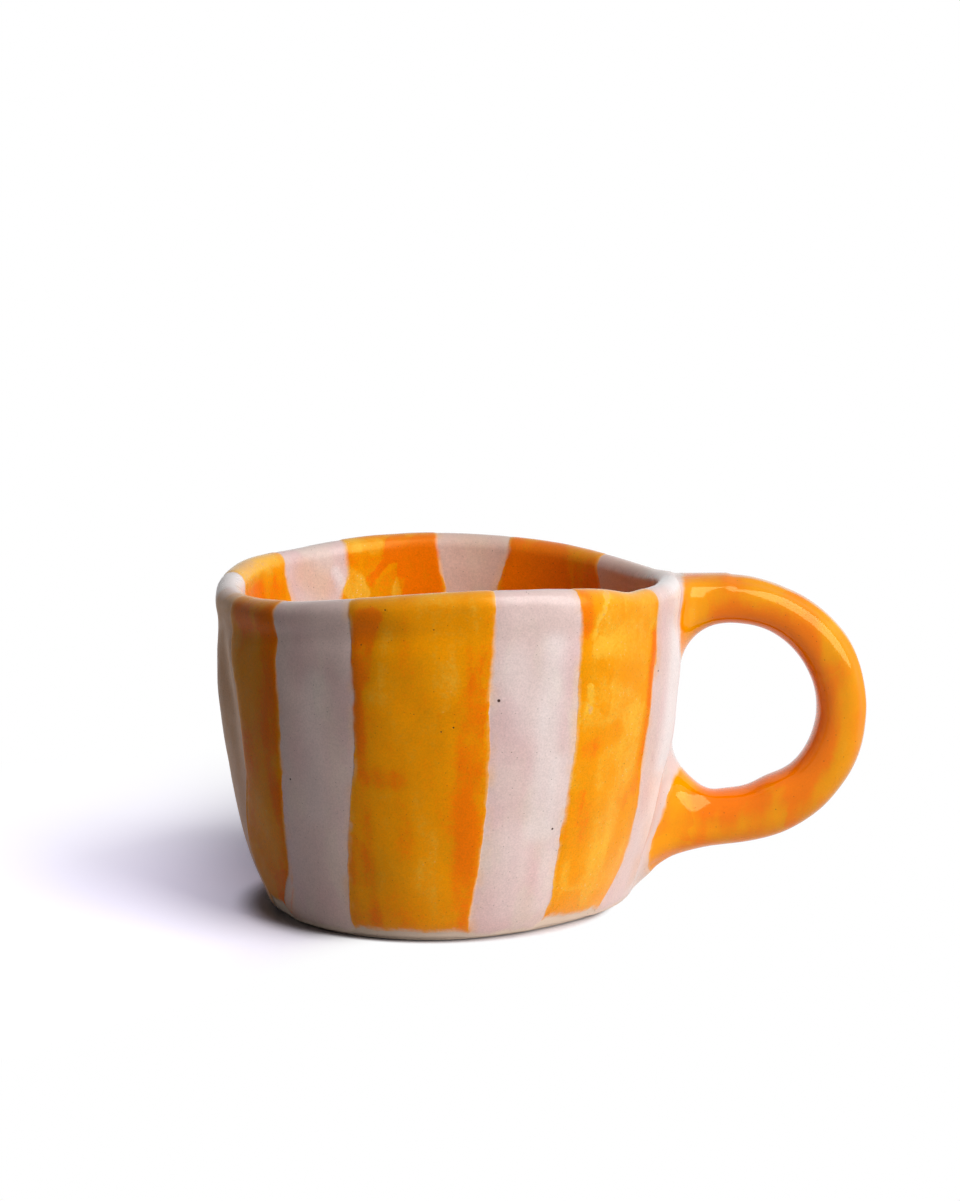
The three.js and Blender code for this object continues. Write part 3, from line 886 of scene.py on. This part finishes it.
def coat_tree():
    """Geometry nodes that lift one brushed coat off the clay: a closed skin over the faces of that coat."""
    tree = bpy.data.node_groups.new("Brushed coat", "GeometryNodeTree")
    for title, kind in (
        ("Geometry", "NodeSocketGeometry"),
        ("Coat", "NodeSocketInt"),
        ("Crisp angle", "NodeSocketFloat"),
        ("Finish", "NodeSocketMaterial"),
    ):
        tree.interface.new_socket(title, in_out="INPUT", socket_type=kind)
    tree.interface.new_socket("Geometry", in_out="OUTPUT", socket_type="NodeSocketGeometry")
    n = Nodes(tree)
    form = n.add("NodeGroupInput", out="Geometry")
    number, crisp, finish = (n.other(form, title) for title in ("Coat", "Crisp angle", "Finish"))
    coat = n.add("GeometryNodeInputNamedAttribute", {"data_type": "INT"}, Name="coat")
    settings = {"data_type": "INT", "operation": "EQUAL"}
    chosen = n.add("FunctionNodeCompare", settings, A_INT=coat, B_INT=number)
    bed = n.add("GeometryNodeSeparateGeometry", {"domain": "FACE"}, Geometry=form, Selection=chosen)
    settings = {"mode": "FACES"}
    lifted = n.add("GeometryNodeExtrudeMesh", settings, Mesh=bed, Individual=False, Offset_Scale=MM)
    glaze_place = n.add("GeometryNodeInputNamedAttribute", {"data_type": "FLOAT_VECTOR"}, Name="glaze")
    settled = n.add(
        "GeometryNodeSetPosition", Geometry=lifted, Selection=n.other(lifted, "Top"), Position=glaze_place
    )
    back = n.add("GeometryNodeFlipFaces", Mesh=bed)
    join = tree.nodes.new("GeometryNodeJoinGeometry")
    tree.links.new(back.socket, join.inputs[0])
    tree.links.new(settled.socket, join.inputs[0])
    closed = n.add("GeometryNodeMergeByDistance", Geometry=Value(n, join.outputs[0]), Distance=MM * MM)
    sharp = n.add("GeometryNodeInputMeshEdgeAngle", out="Unsigned Angle")
    settings = {"data_type": "FLOAT", "operation": "GREATER_THAN"}
    is_sharp = n.add("FunctionNodeCompare", settings, A=sharp, B=crisp)
    settings = {"domain": "EDGE"}
    edged = n.add(
        "GeometryNodeSetShadeSmooth", settings, Geometry=closed, Selection=is_sharp, Shade_Smooth=False
    )
    real = n.add("GeometryNodeRealizeInstances", Geometry=edged)
    glazed = n.add("GeometryNodeSetMaterial", Geometry=real, Material=finish)
    n.add("NodeGroupOutput", Geometry=glazed)
    return tree


def set_inputs(modifier, **values):
    """Sets a geometry nodes modifier's inputs by their identifiers."""
    for item in modifier.node_group.interface.items_tree:
        title = item.name.replace(" ", "_")
        if item.in_out == "INPUT" and title in values:
            modifier[item.identifier] = values[title]


def made_real(name, source, tree, **values):
    """A plain mesh object from what the tree makes of the source."""
    modifier = source.modifiers.new("Made", "NODES")
    modifier.node_group = tree
    set_inputs(modifier, **values)
    graph = bpy.context.evaluated_depsgraph_get()
    mesh = bpy.data.meshes.new_from_object(
        source.evaluated_get(graph), preserve_all_data_layers=True, depsgraph=graph
    )
    source.modifiers.remove(modifier)
    if not mesh.polygons:
        raise RuntimeError(f"{name} came out empty")
    mesh.name = name
    for spare in ("glaze", "coat"):
        if spare in mesh.attributes:
            mesh.attributes.remove(mesh.attributes[spare])
    return new_object(name, mesh)


def cup_of(context):
    """The cup with the sizes of the panel."""
    return Cup(context.scene.mug_cup)


def settle(piece, slot, *nodes):
    """The piece rides on the mug and stands for its nodes; the slot is not used."""
    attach(piece, BODY)
    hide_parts(*nodes)


def spots_on(grid):
    """The iron spots' places on the glaze and their radii."""
    places = []
    for angle, height, radius in IRON_SPOTS:
        across = turned_by(grid.all_angle, math.radians(angle)) * grid.cup.rim_radius
        nearest = np.hypot(across, grid.all_along - height).argmin()
        places.append((tuple(grid.glaze.reshape(-1, 3)[nearest].tolist()), radius))
    return places


# Tint and level of the gloss, roughness and grit of each glaze
GLAZES = {
    "Orange glaze": ((1, 0.74, 0.2, 1), 0.27, 0.3, 0.9),
    "Pink glaze": ((1, 0.95, 0.93, 1), 0.36, 0.32, 0.85),
    "Dry orange glaze": ((1, 0.74, 0.2, 1), 0.12, 0.42, 0.9),
    "Dry pink glaze": ((1, 0.9, 0.84, 1), 0.3, 0.42, 0.8),
    "Handle glaze": ((1, 0.84, 0.36, 1), 0.46, 0.08, 0.3),
}


def glaze_named(name, context, grid):
    """The glaze of that name, made when it is first asked for."""
    found = bpy.data.materials.get(name)
    return found or glaze_material(name, context.scene.mug_colours, spots_on(grid), *GLAZES[name])


class MUG_OT_clay(bpy.types.Operator):
    """Makes the fired clay cup under the glaze"""

    bl_idname = "mug.clay"
    bl_label = "Clay cup"

    def execute(self, context):
        grid = CupGrid(cup_of(context))
        points = grid.clay[:, ::CLAY_STRIDE]
        rows, columns = points.shape[:2]
        faces = skin_faces(rows, columns, rows * columns, rows * columns + 1)
        under_middle = points[0].mean(axis=0) * (1, 1, 0)
        floor_middle = points[-1].mean(axis=0)
        flat = np.concatenate([points.reshape(-1, 3), [under_middle, floor_middle]])
        flat[:, 2] = np.maximum(flat[:, 2], 0)
        piece = new_object("clay_cup", new_mesh("clay_cup", flat, faces))
        piece.data.materials.append(clay_material(context.scene.mug_colours))
        settle(piece, "bare_clay", "base_slab", "wall_slab")
        return {"FINISHED"}


class MUG_OT_coats(bpy.types.Operator):
    """Brushes the twelve coats of the wall and the coat of the floor"""

    bl_idname = "mug.coats"
    bl_label = "Brushed coats"

    def execute(self, context):
        cup = cup_of(context)
        grid = CupGrid(cup)
        landing = Handle(cup, context.scene.mug_handle).landings()
        source = new_object("form", self.form(grid, landing))
        tree = coat_tree()
        for k in range(COATS + 1):
            colour = "orange" if k % 2 == 0 and k < COATS else "pink"
            on_floor = k == FLOOR_COAT
            number = k // 2 + 1
            name = "floor_coat" if on_floor else f"{colour}_coat_{number}"
            node = "floor_glaze" if on_floor else f"{colour}_stripe_{number}"
            kind = f"dry {colour} glaze" if k in DRY_COATS else f"{colour} glaze"
            finish = glaze_named(kind.capitalize(), context, grid)
            piece = made_real(name, source, tree, Coat=k, Crisp_angle=0.9, Finish=finish)
            settle(piece, f"{colour}_glaze", node)
        bpy.data.objects.remove(source)
        return {"FINISHED"}

    def form(self, grid, landings):
        """The clay from the hem to the middle of the floor, as the bed of the coats."""
        keep = slice(grid.wall_from, None)
        clay, glaze = grid.clay[keep], grid.glaze[keep]
        rows, columns = clay.shape[:2]
        middle = rows * columns
        faces = skin_faces(rows, columns, last_middle=middle)

        def with_middle(values):
            return np.concatenate([values.reshape(middle, *values.shape[2:]), [values[-1].mean(axis=0)]])

        edge = grid.edge[keep]
        edge = np.where(edge < 0, np.maximum(edge, -to_landings(glaze, landings)), edge)
        numbers = {name: with_middle(getattr(grid, name)[keep]) for name in GLAZE_NUMBERS}
        numbers["edge"] = with_middle(edge)
        numbers["glaze"] = with_middle(glaze) * MM
        mesh = new_mesh("form", with_middle(clay), faces, numbers)
        wall_rows = grid.wall_to - grid.wall_from - 1
        coat = np.tile(grid.coat, wall_rows)
        coat = np.concatenate([coat, np.full(len(faces) - len(coat), FLOOR_COAT)])
        layer = mesh.attributes.new("coat", "INT", "FACE")
        layer.data.foreach_set("value", coat.astype(np.int32))
        return mesh


def to_landings(points, landings):
    """Millimetres from each point to where the handle lands, plus what is left pink there."""
    flat = points.reshape(-1, 3)
    near = np.full(len(flat), FAR)
    close = flat[:, 0] > 0
    for ring, bare in landings:
        gap = np.linalg.norm(flat[close][:, None, :] - ring[None, :, :], axis=-1)
        near[close] = np.minimum(near[close], (gap + bare).min(axis=1))
    return near.reshape(points.shape[:2])


class Handle:
    """The coil: a half ring, and at each end a flare that runs out tangent to the wall."""

    SIDES = 128
    RING_STATIONS = 110
    FLARE_STATIONS = 26
    SQUARENESS = 2.4
    # Millimetres of rounding towards the outside of the ring, the finger opening and the sides
    UPPER_FILLETS = (1.2, 11, 6)
    LOWER_FILLETS = (12, 12, 7)
    # Millimetres beside each landing that stay pink: at the sides, and how much more above and below
    UPPER_BARE = (2.2, 0)
    LOWER_BARE = (4.4, 3.2)
    # How much fuller the lower root is on its under side, in millimetres
    LOWER_FULLNESS = 1.1
    # Where the lower flare starts, in millimetres from the wall
    FLARE_REACH = 13
    # Brush grooves along the outside of the coil: degrees from its outermost line, half width in degrees
    # and depth in millimetres, and the stretch of the coil on which they lie
    RIDGES = ((-40, 9, 0.14), (-27, 8, -0.16))
    RIDGE_RUN = (8, 74)
    # Where the ring was pressed: degrees from its top, half width in degrees, outside (1) or inside (-1) of
    # the ring, and how deep in millimetres
    PRESSES = (
        (20, 26, 1, 0.7),
        (172, 16, 1, 0.35),
        (75, 40, -1, -0.35),
        (153, 14, -1, -1),
        (196, 14, -1, 0.8),
    )

    def __init__(self, cup, sizes):
        self.cup = cup
        for name in HandleSizes.__annotations__:
            setattr(self, name, getattr(sizes, name) / MM)
        self.top = cup.mug_height - self.root_drop
        self.bottom = self.root_height
        self.radius = (self.top - self.bottom) / 2
        self.middle = (self.top + self.bottom) / 2
        self.centre_x = cup.rim_radius + self.ring_standoff
        turn = np.linspace(0, TURN, self.SIDES, endpoint=False)
        power = 2 / self.SQUARENESS
        self.out = np.sign(np.cos(turn)) * np.abs(np.cos(turn)) ** power
        self.across = np.sign(np.sin(turn)) * np.abs(np.sin(turn)) ** power

    def wall_x(self, z):
        return float(self.cup.outer_radius(np.array(0.0), np.array(z)))

    def half_thickness(self, distance):
        """Half the coil's thickness at a distance from where its upper end meets the wall."""
        length = self.length()
        past_middle = np.maximum(2 * distance / length - 1, 0)
        return (self.coil_thickness + self.coil_swell * past_middle) / 2

    def length(self):
        """The coil's length along its middle, from wall to wall."""
        upper = self.centre_x - self.wall_x(self.top)
        lower = self.centre_x - self.wall_x(self.bottom)
        return upper + math.pi * self.radius + lower

    def spine(self):
        """Points, outward directions and half thicknesses of the coil between the two flares."""
        upper = self.centre_x - self.wall_x(self.top)
        lower_from = self.wall_x(self.bottom) + self.FLARE_REACH
        arc = np.linspace(0, math.pi, self.RING_STATIONS)
        run = np.arange(self.centre_x, lower_from, -0.9)[1:]
        x = np.concatenate([self.centre_x + self.radius * np.sin(arc), run])
        z = np.concatenate([self.middle + self.radius * np.cos(arc), np.full(len(run), self.bottom)])
        out_x = np.concatenate([np.sin(arc), 0 * run])
        out_z = np.concatenate([np.cos(arc), 0 * run - 1])
        past_ring = math.pi * self.radius + (self.centre_x - run)
        distance = upper + np.concatenate([self.radius * arc, past_ring])
        return x, z, out_x, out_z, self.half_thickness(distance)

    def rings(self):
        """The coil's sections from one flare to the other."""
        x, z, out_x, out_z, half = self.spine()
        reach = half[:, None] * self.out[None, :]
        return np.stack(
            [
                x[:, None] + out_x[:, None] * reach,
                np.broadcast_to(self.coil_width / 2 * self.across, reach.shape),
                z[:, None] + out_z[:, None] * reach,
            ],
            -1,
        )

    def landing(self, height, half, upwards, fillets):
        """Where the coil's surface would reach the wall, as angles and distances along the wall."""
        outer, inner, side = fillets
        reach = self.out * (half + np.where(self.out > 0, outer, inner))
        y = (self.coil_width / 2 + side) * self.across
        lip_start = self.cup.lip_height(np.array(0.0)) - self.cup.lip_radius
        along = self.cup.lip_start * (height / lip_start) + upwards * reach
        for _ in range(3):
            radius = np.hypot(*self.cup.place(0 * y, along)[..., :2].T)
            angle = np.arcsin(np.clip(y / radius, -1, 1))
        return angle, along

    def ends(self):
        """For each end: ring height, half thickness, way to the ring's outside, roundings, pink margin."""
        last = self.half_thickness(self.length())
        margins = (self.UPPER_BARE, self.LOWER_BARE)
        upper_bare, lower_bare = (side + more * self.out**2 for side, more in margins)
        return (
            (self.top, self.half_thickness(0), 1, self.UPPER_FILLETS, upper_bare),
            (self.bottom, last, -1, self.LOWER_FILLETS, lower_bare),
        )

    def landings(self):
        """The two closed lines along which the handle meets the wall, each with its pink margin."""
        found = []
        for *end, bare in self.ends():
            found.append((self.cup.place(*self.landing(*end)), bare))
        return found

    def flare(self, start, inwards, end, wall):
        """Rows of points from a ring of the coil to the wall, which they meet flat."""
        height, _, _, fillets, _ = end
        angle, along = self.landing(*end[:4])
        target = self.cup.place(angle, along)
        centre = self.cup.place(np.array(0.0), np.array(along.mean()))
        settled, normals = [], []
        for point in target:
            place, normal, _, _ = wall.find_nearest(Vector(point))
            settled.append(place)
            normals.append(normal)
        target = np.array(settled) - 0.03 * np.array(normals)
        normals = np.array(normals)
        root = np.array([centre[0], 0, height])
        homewards = root - target
        homewards -= normals * (homewards * normals).sum(-1, keepdims=True)
        homewards /= np.linalg.norm(homewards, axis=-1, keepdims=True)
        outer, inner, side = fillets
        to_side = self.across**2
        rounding = (1 - to_side) * np.where(self.out > 0, outer, inner) + to_side * side
        rounding = rounding[:, None]
        # A cubic curve that leaves the coil straight on and ends flat on the wall
        gap = np.abs(start[:, :1] - target[:, :1])
        near = start + inwards * np.maximum(gap - 0.45 * rounding, 0.35 * gap)
        far = target + homewards * 0.55 * rounding
        t = np.linspace(0, 1, self.FLARE_STATIONS + 1)[1:, None, None]
        rows = (1 - t) ** 3 * start + 3 * t * (1 - t) ** 2 * near
        rows = rows + 3 * t * t * (1 - t) * far + t**3 * target
        under = target - 0.5 * normals + homewards * 0.8
        return rows, under

    def mesh(self, wall):
        """The handle's points, millimetres inside its glaze's edge, and how thick the glaze lies, with
        painted shade.
        """
        ring = self.rings()
        upper_end, lower_end = self.ends()
        towards_wall = np.array([-1, 0, 0])
        upper, upper_under = self.flare(ring[0], towards_wall, upper_end, wall)
        lower, lower_under = self.flare(ring[-1], towards_wall, lower_end, wall)
        points = np.concatenate([upper_under[None], upper[::-1], ring, lower, lower_under[None]])
        steps = np.linalg.norm(np.diff(points, axis=0), axis=-1)
        from_upper = np.concatenate([0 * steps[:1], steps]).cumsum(axis=0) - steps[0]
        from_lower = (steps.sum(axis=0) - steps[-1]) - steps[0] - from_upper
        edge = np.minimum(from_upper - upper_end[-1], from_lower - lower_end[-1])
        fade = smooth(from_upper, 6, 16) * smooth(from_lower, 6, 16)
        hollow = self.hollow(points, from_upper, from_lower, fade)
        # The normals of this grid point into the coil
        points = points + normals_of(points) * hollow[..., None]
        # Painted shade: deeper orange on the ring's inside and along its under run; the glaze lies thin on
        # the lower root
        inner = smooth(-self.out, -0.3, 0.8)[None, :] * (1 + 0.6 * ripple(points, 14, 12))
        root = 1 - smooth(from_lower, 9, 19)
        belly = (1 - root) * (1 - smooth(from_lower, 28, 46))
        load = 0.6 * inner * fade + 0.12 * belly - 0.2 * root
        return points, edge, load + 0.1 + 0.2 * ripple(points, 18, 14)

    def hollow(self, points, from_upper, from_lower, fade):
        """How deep the hand pressed each point of the coil in, in millimetres, or below zero out."""
        depth = self.coil_wave * (ripple(points, 17, 4) + 0.4 * ripple(points, 7, 6)) * fade
        ring_turn = np.arctan2(points[..., 0] - self.centre_x, points[..., 2] - self.middle)
        ring_turn = np.degrees(ring_turn) % 360
        for place, width, side, press in self.PRESSES:
            facing = smooth(side * self.out, 0, 0.8)[None, :] * fade
            depth += press * facing * np.exp(-(((ring_turn - place) / width) ** 2))
        # Small fingerprints beside the lower root, which is fuller underneath
        printed = smooth(from_lower, 3, 7) * (1 - smooth(from_lower, 14, 24))
        depth += 0.14 * ripple(points, 4.5, 16) * printed
        full = smooth(from_lower, 1, 8) * (1 - smooth(from_lower, 15, 31))
        depth -= self.LOWER_FULLNESS * full * smooth(self.out, 0.1, 0.9)
        turn = np.arctan2(self.across, self.out)[None, :] + 0.12 * ripple(points, 30, 8)
        start, stop = self.RIDGE_RUN
        brushed = smooth(from_upper, start, start + 12) * (1 - smooth(from_upper, stop - 14, stop))
        for place, width, groove in self.RIDGES:
            away = turned_by(turn, math.radians(place)) / math.radians(width)
            depth += groove * brushed * np.exp(-(away**2))
        return depth


class MUG_OT_handle(bpy.types.Operator):
    """Rolls the coil handle and works its ends into the wall"""

    bl_idname = "mug.handle"
    bl_label = "Coil handle"

    def execute(self, context):
        cup = cup_of(context)
        grid = CupGrid(cup)
        surface = grid.glaze[grid.wall_from:]
        rows, columns = surface.shape[:2]
        wall = BVHTree.FromPolygons(surface.reshape(-1, 3).tolist(), skin_faces(rows, columns))
        handle = Handle(cup, context.scene.mug_handle)
        points, edge, load = handle.mesh(wall)
        rows, sides = points.shape[:2]
        ends = [points[0].mean(axis=0), points[-1].mean(axis=0)]
        flat = np.concatenate([points.reshape(-1, 3), ends])
        faces = skin_faces(rows, sides, rows * sides, rows * sides + 1)
        if signed_volume(flat, faces) < 0:
            faces = [face[::-1] for face in faces]
        plain = {"hem": CLEAR_OF_HEM, "deep": OFF_LAP, "thin": OFF_LAP}
        numbers = {name: np.full(len(flat), float(plain.get(name, 0))) for name in GLAZE_NUMBERS}
        numbers["edge"] = np.concatenate([edge.ravel(), [HIDDEN_END, HIDDEN_END]])
        numbers["load"] = np.concatenate([load.ravel(), [0, 0]])
        piece = new_object("ring_handle", new_mesh("ring_handle", flat, faces, numbers))
        piece.data.materials.append(glaze_named("Handle glaze", context, grid))
        nodes = ("handle_coil", "upper_handle_joint", "lower_handle_joint", "handle_glaze")
        settle(piece, "orange_glaze", *nodes)
        return {"FINISHED"}


def signed_volume(points, faces):
    """Volume inside the faces, below zero if they face inwards."""
    total = 0
    for face in faces:
        for b, c in zip(face[1:], face[2:]):
            total += np.dot(points[face[0]], np.cross(points[b], points[c]))
    return total / 6


class MUG_OT_stage(bpy.types.Operator):
    """Sets up the white floor, the soft lamp, the light from all round and the camera"""

    bl_idname = "mug.stage"
    bl_label = "Studio"

    # Half width of the paper, and how far it lies below the foot so that the two don't coincide
    PAPER = (4000, 0.02)
    # Middle of the foot's outline and its reach, for the painted contact shadow where the floor's glow and
    # white stop
    FOOT_MIDDLE = (-3.5, 0, 0)
    FOOT_REACH = 39.6
    # What the camera looks at
    TARGET = (6.9, 0, 70)

    def execute(self, context):
        settings = context.scene.mug_studio
        self.floor(settings)
        self.world(settings)
        self.key(settings)
        self.camera(settings)
        context.scene.view_settings.view_transform = "Standard"
        return {"FINISHED"}

    def shown(self, n):
        """1 where the camera, a reflection or a clear piece looks straight at the surface."""
        light_path = n.add("ShaderNodeLightPath", out="Is Camera Ray")
        glossy, clear = (n.other(light_path, out) for out in ("Is Glossy Ray", "Is Transmission Ray"))
        return n.least(light_path + glossy + clear, 1.0)

    def distance_along(self, n, turn):
        """Millimetres from the middle of the mug in a level direction."""
        return n.vector("DOT_PRODUCT", n.place(), (math.cos(turn), math.sin(turn), 0))

    def floor(self, settings):
        """White paper with a painted glow in the mug's shadow; it fades into the backdrop and throws little
        light back.
        """
        half, drop = self.PAPER
        corners = [(-half, -half, -drop), (half, -half, -drop), (half, half, -drop), (-half, half, -drop)]
        floor = new_object("floor", new_mesh("floor", corners, [(0, 1, 2, 3)]))
        material, n = new_material("White paper")
        away = n.vector("LENGTH", n.place())
        from_foot = n.vector("DISTANCE", n.place(), self.FOOT_MIDDLE)
        towards = self.distance_along(n, settings.key_turn)
        aside = self.distance_along(n, settings.key_turn + math.pi / 2)

        # Painted shadow: a lavender glow, which grows away from the mug, gives the shadow its blue and its
        # shape
        paper = n.add("ShaderNodeBsdfDiffuse", Color=(0.95, 0.94, 1, 1))
        behind = n.vector("LENGTH", n.vector("MULTIPLY_ADD", n.place(), (1, 0.23, 0), (-10, -40, 0)))
        painted_glow_strength = n.step(behind, 42.0, 96.0, 0.42) + n.step(behind, 31.0, 144.0, 0.53)
        # The painted glow stops at the foot, which leaves a painted contact shadow
        painted_glow_strength = painted_glow_strength * n.step(from_foot, self.FOOT_REACH, 48.0)
        painted_shadow_glow = n.add("ShaderNodeEmission", Color=(0.86, 0.81, 1, 1), Strength=painted_glow_strength)
        paper = n.add("ShaderNodeAddShader", Shader=paper, Shader_001=painted_shadow_glow)

        # Painted white hides the floor's shading far out all round, near the foot on the lamp's side and
        # beside the shadow
        white = n.add("ShaderNodeEmission", Color=(1, 1, 1, 1), Strength=1.0)
        before = n.step(towards, -7.0, 14.0) * n.step(from_foot, self.FOOT_REACH, 42.0)
        painted_white_share = n.most(n.most(n.step(away, 60.0, 200.0), before), n.step(aside, 66.0, 130.0))
        seen = n.add("ShaderNodeMixShader", Fac=painted_white_share, Shader=paper, Shader_001=white)

        # What it throws back: little, and more from close by on the lamp's side
        close = n.step(away, 150.0, 60.0) * n.step(towards, 0.0, 50.0)
        back = n.blend(close, (0.4, 0.38, 0.37, 1), (0.8, 0.77, 0.75, 1))
        lit = n.add("ShaderNodeBsdfDiffuse", Color=back)
        shader = n.add("ShaderNodeMixShader", Fac=self.shown(n), Shader=lit, Shader_001=seen)
        n.add("ShaderNodeOutputMaterial", Surface=shader)
        floor.data.materials.append(material)

    def world(self, settings):
        """White where it is seen, and a little light from all round."""
        world = bpy.data.worlds.new("Studio")
        world.use_nodes = True
        world.node_tree.nodes.clear()
        n = Nodes(world.node_tree)
        strength = self.shown(n) * (1 - settings.fill) + settings.fill
        shader = n.add("ShaderNodeBackground", Color=(1, 1, 1, 1), Strength=strength)
        n.add("ShaderNodeOutputWorld", Surface=shader)
        bpy.context.scene.world = world

    def key(self, settings):
        """The soft lamp, which faces the mug."""
        lamp = bpy.data.lights.new("key", "AREA")
        lamp.shape = "RECTANGLE"
        lamp.size = settings.key_width
        lamp.size_y = settings.key_drop
        lamp.energy = settings.key_power
        level = math.cos(settings.key_height)
        towards = Vector((level * math.cos(settings.key_turn), level * math.sin(settings.key_turn), 0))
        towards.z = math.sin(settings.key_height)
        key = bpy.data.objects.new("key", lamp)
        key.location = towards * settings.key_distance
        key.rotation_euler = towards.to_track_quat("Z", "Y").to_euler()
        bpy.context.scene.collection.objects.link(key)

    def camera(self, settings):
        """The camera, square to the mug's front and looking down at it."""
        camera = bpy.data.objects.new("camera", bpy.data.cameras.new("camera"))
        bpy.context.scene.collection.objects.link(camera)
        target = Vector(self.TARGET) * MM
        back = Vector((0, -math.cos(settings.tilt), math.sin(settings.tilt)))
        camera.location = target + back * settings.camera_distance
        camera.rotation_euler = (math.pi / 2 - settings.tilt, 0, 0)
        camera.data.lens = settings.focal_length
        bpy.context.scene.camera = camera


class VIEW3D_PT_mug(bpy.types.Panel):
    """Lists the mug's sizes, colours and pieces"""

    bl_label = "Mug"
    bl_space_type = "VIEW_3D"
    bl_region_type = "UI"
    bl_category = "Mug"

    def draw(self, context):
        for name, kind in SETTINGS.items():
            box = self.layout.box()
            for prop in kind.__annotations__:
                box.prop(getattr(context.scene, name), prop)
        for operator in OPERATORS:
            self.layout.operator(operator.bl_idname)


SETTINGS = {
    "mug_cup": CupSizes,
    "mug_handle": HandleSizes,
    "mug_colours": GlazeColours,
    "mug_studio": StudioSettings,
}
OPERATORS = (MUG_OT_clay, MUG_OT_coats, MUG_OT_handle, MUG_OT_stage)


def register():
    for kind in (*SETTINGS.values(), *OPERATORS, VIEW3D_PT_mug):
        bpy.utils.register_class(kind)
    for name, kind in SETTINGS.items():
        setattr(bpy.types.Scene, name, PointerProperty(type=kind))


def unregister():
    for name in SETTINGS:
        delattr(bpy.types.Scene, name)
    for kind in (VIEW3D_PT_mug, *OPERATORS, *SETTINGS.values()):
        bpy.utils.unregister_class(kind)


def main():
    """Makes every piece and the studio."""
    register()
    for name in ("clay", "coats", "handle", "stage"):
        getattr(bpy.ops.mug, name)()


if __name__ == "__main__":
    main()
